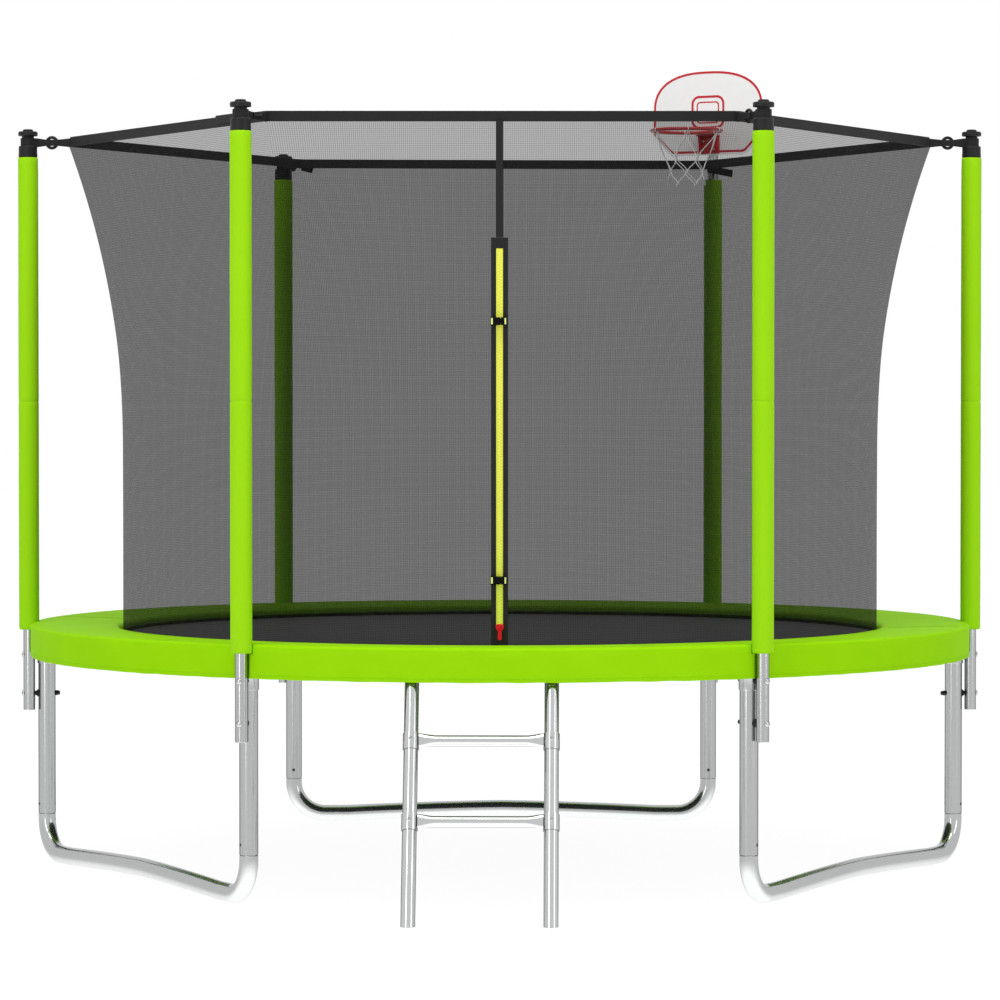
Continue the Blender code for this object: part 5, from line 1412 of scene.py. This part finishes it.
# Cords cross over from row to row, so that each loop hangs from two neighbours.
def makeHoopNet():
    build, rims = startMesh(), startMesh()
    rowEnds, step = hoop["rowEnds"], pi / hoop["loops"]
    knots = []
    for start in turns(hoop["loops"]):
        for way in (-step, step):
            path = []
            for row in range(len(rowEnds) - 1):
                for within in spread(0, 1, 8)[:-1]:
                    local = 1 - within if row % 2 else within
                    share = rowEnds[row] + (rowEnds[row + 1] - rowEnds[row]) * within
                    path.append(hoopNetPoint(start + way * (local - 0.08 * sin(2 * pi * local)), share))
            path.append(hoopNetPoint(start + way * ((len(rowEnds) - 1) % 2), 1.0))
            skin(build, ringsAlong(path, hoop["cord"], 6))
        for row in range(1, len(rowEnds)):
            knots.append((hoopNetPoint(start + (step if row % 2 else 0.0), rowEnds[row]), up, aside))
        out = cos(start) * aside + sin(start) * inward
        middle = rimMiddle + hoop["rimRadius"] * out
        addCircle(rims, middle, out, up, out.cross(up), hoop["rimBar"] + hoop["cord"], hoop["cord"], 16, 6)
    addPiece("hoop net cords", build, whiteCord, ["hoop_net"])
    knot = startMesh()
    bmesh.ops.create_icosphere(knot, subdivisions=1, radius=hoop["knot"])
    addCopies("hoop net knots", knot, knots, whiteCord)
    addPiece("hoop net loops", rims, whiteCord)


stages = {"frame tubes": (makeRing, makeLegBases, makeUprights),
          "poles": (makePoles, makeCaps, makePoleBolts),
          "mat and springs": (makeMat, makeSprings),
          "pad": (makePad, makePadStitches),
          "net and belt": (makeNet, makeBelt),
          "door": (makeDoor, makeSlider, makeBuckles),
          "ladder": (makeLadderRails, makeRungs),
          "hoop": (makeBoard, makeBracket, makeRim, makeHoopNet)}
for title, makers in stages.items():
    print(title)
    for make in makers:
        make()


# stage, camera and light

def startTree(holder):
    holder.use_nodes = True
    holder.node_tree.nodes.clear()
    tree = holder.node_tree
    path = addNode(tree, "ShaderNodeLightPath").outputs
    return tree, path, calc(tree, "MAXIMUM", path["Is Camera Ray"], path["Is Glossy Ray"])


def makeFloor():
    mesh = bpy.data.meshes.new("floor")
    corners = [Vector((x, y, -0.0005)) for x, y in ((-60, -60), (60, -60), (60, 60), (-60, 60))]
    mesh.from_pydata(corners, [], [(0, 1, 2, 3)])
    material = bpy.data.materials.new("pale floor")
    tree, path, seen = startTree(material)
    shade = addNode(tree, "ShaderNodeBsdfDiffuse", {"Color": (0.86, 0.86, 0.86, 1)})
    # Painted reflection: seen in reflections from steep above, the floor glows up to 2.4 instead of 1.1,
    # brightening the tubes' undersides.
    facing = addNode(tree, "ShaderNodeNewGeometry").outputs["Incoming"]
    steep = addNode(tree, "ShaderNodeSeparateXYZ", {0: facing}).outputs["Z"]
    limits = {"Value": steep, "From Min": 0.15, "From Max": 0.6, "To Min": 0.0, "To Max": 1.3}
    steep = addNode(tree, "ShaderNodeMapRange", limits).outputs["Result"]
    strength = calc(tree, "MULTIPLY_ADD", steep, path["Is Glossy Ray"], 1.1)
    glow = addNode(tree, "ShaderNodeEmission", {"Color": white, "Strength": strength})
    share = calc(tree, "MULTIPLY", seen, 0.86)
    mixed = addNode(tree, "ShaderNodeMixShader", {0: share, 1: shade.outputs[0], 2: glow.outputs[0]})
    addNode(tree, "ShaderNodeOutputMaterial", {"Surface": mixed.outputs[0]})
    mesh.materials.append(material)
    newObject("floor", mesh)


def makeWorld():
    world = bpy.data.worlds.new("studio")
    bpy.context.scene.world = world
    tree, path, seen = startTree(world)
    seen = calc(tree, "MAXIMUM", seen, path["Is Transmission Ray"])
    soft = addNode(tree, "ShaderNodeBackground", {"Color": white, "Strength": 0.6})
    bright = addNode(tree, "ShaderNodeBackground", {"Color": white, "Strength": 1.0})
    mixed = addNode(tree, "ShaderNodeMixShader", {0: seen, 1: soft.outputs[0], 2: bright.outputs[0]})
    addNode(tree, "ShaderNodeOutputWorld", {"Surface": mixed.outputs[0]})


# Each light: name, place, target, width, height and power.
lights = (("overhead panel", (0, -2.8, 8.2), (0, 0, 0.8), 7.0, 4.0, 316),
          ("left strip", (-4.6, -7.6, 3.4), (0, 0, 1.1), 1.6, 7.5, 127),
          ("right strip", (6.5, -5.0, 2.8), (0, 0, 1.1), 1.4, 5.0, 62))
cameraFit = {"distance": 13.741, "height": 1.49536, "tilt": radians(1.279), "orbit": radians(0.162),
             "lens": 150.0, "sensor": 36.0, "clipEnd": 200}


def makeLights():
    for name, place, target, width, height, power in lights:
        light = bpy.data.lights.new(name, "AREA")
        light.shape = "RECTANGLE"
        light.size, light.size_y = width, height
        light.energy = power
        lamp = newObject(name, light)
        lamp.location = place
        lamp.rotation_euler = (Vector(target) - Vector(place)).to_track_quat("-Z", "Y").to_euler()


def makeCamera():
    data = bpy.data.cameras.new("camera")
    data.lens = cameraFit["lens"]
    data.sensor_width = cameraFit["sensor"]
    data.clip_end = cameraFit["clipEnd"]
    camera = newObject("camera", data)
    camera.location = around(cameraFit["orbit"] - pi / 2, cameraFit["distance"], cameraFit["height"])
    camera.rotation_euler = (pi / 2 - cameraFit["tilt"], 0.0, cameraFit["orbit"])
    bpy.context.scene.camera = camera


print("stage")
bpy.context.scene.view_settings.view_transform = "Standard"
makeFloor()
makeWorld()
makeLights()
makeCamera()
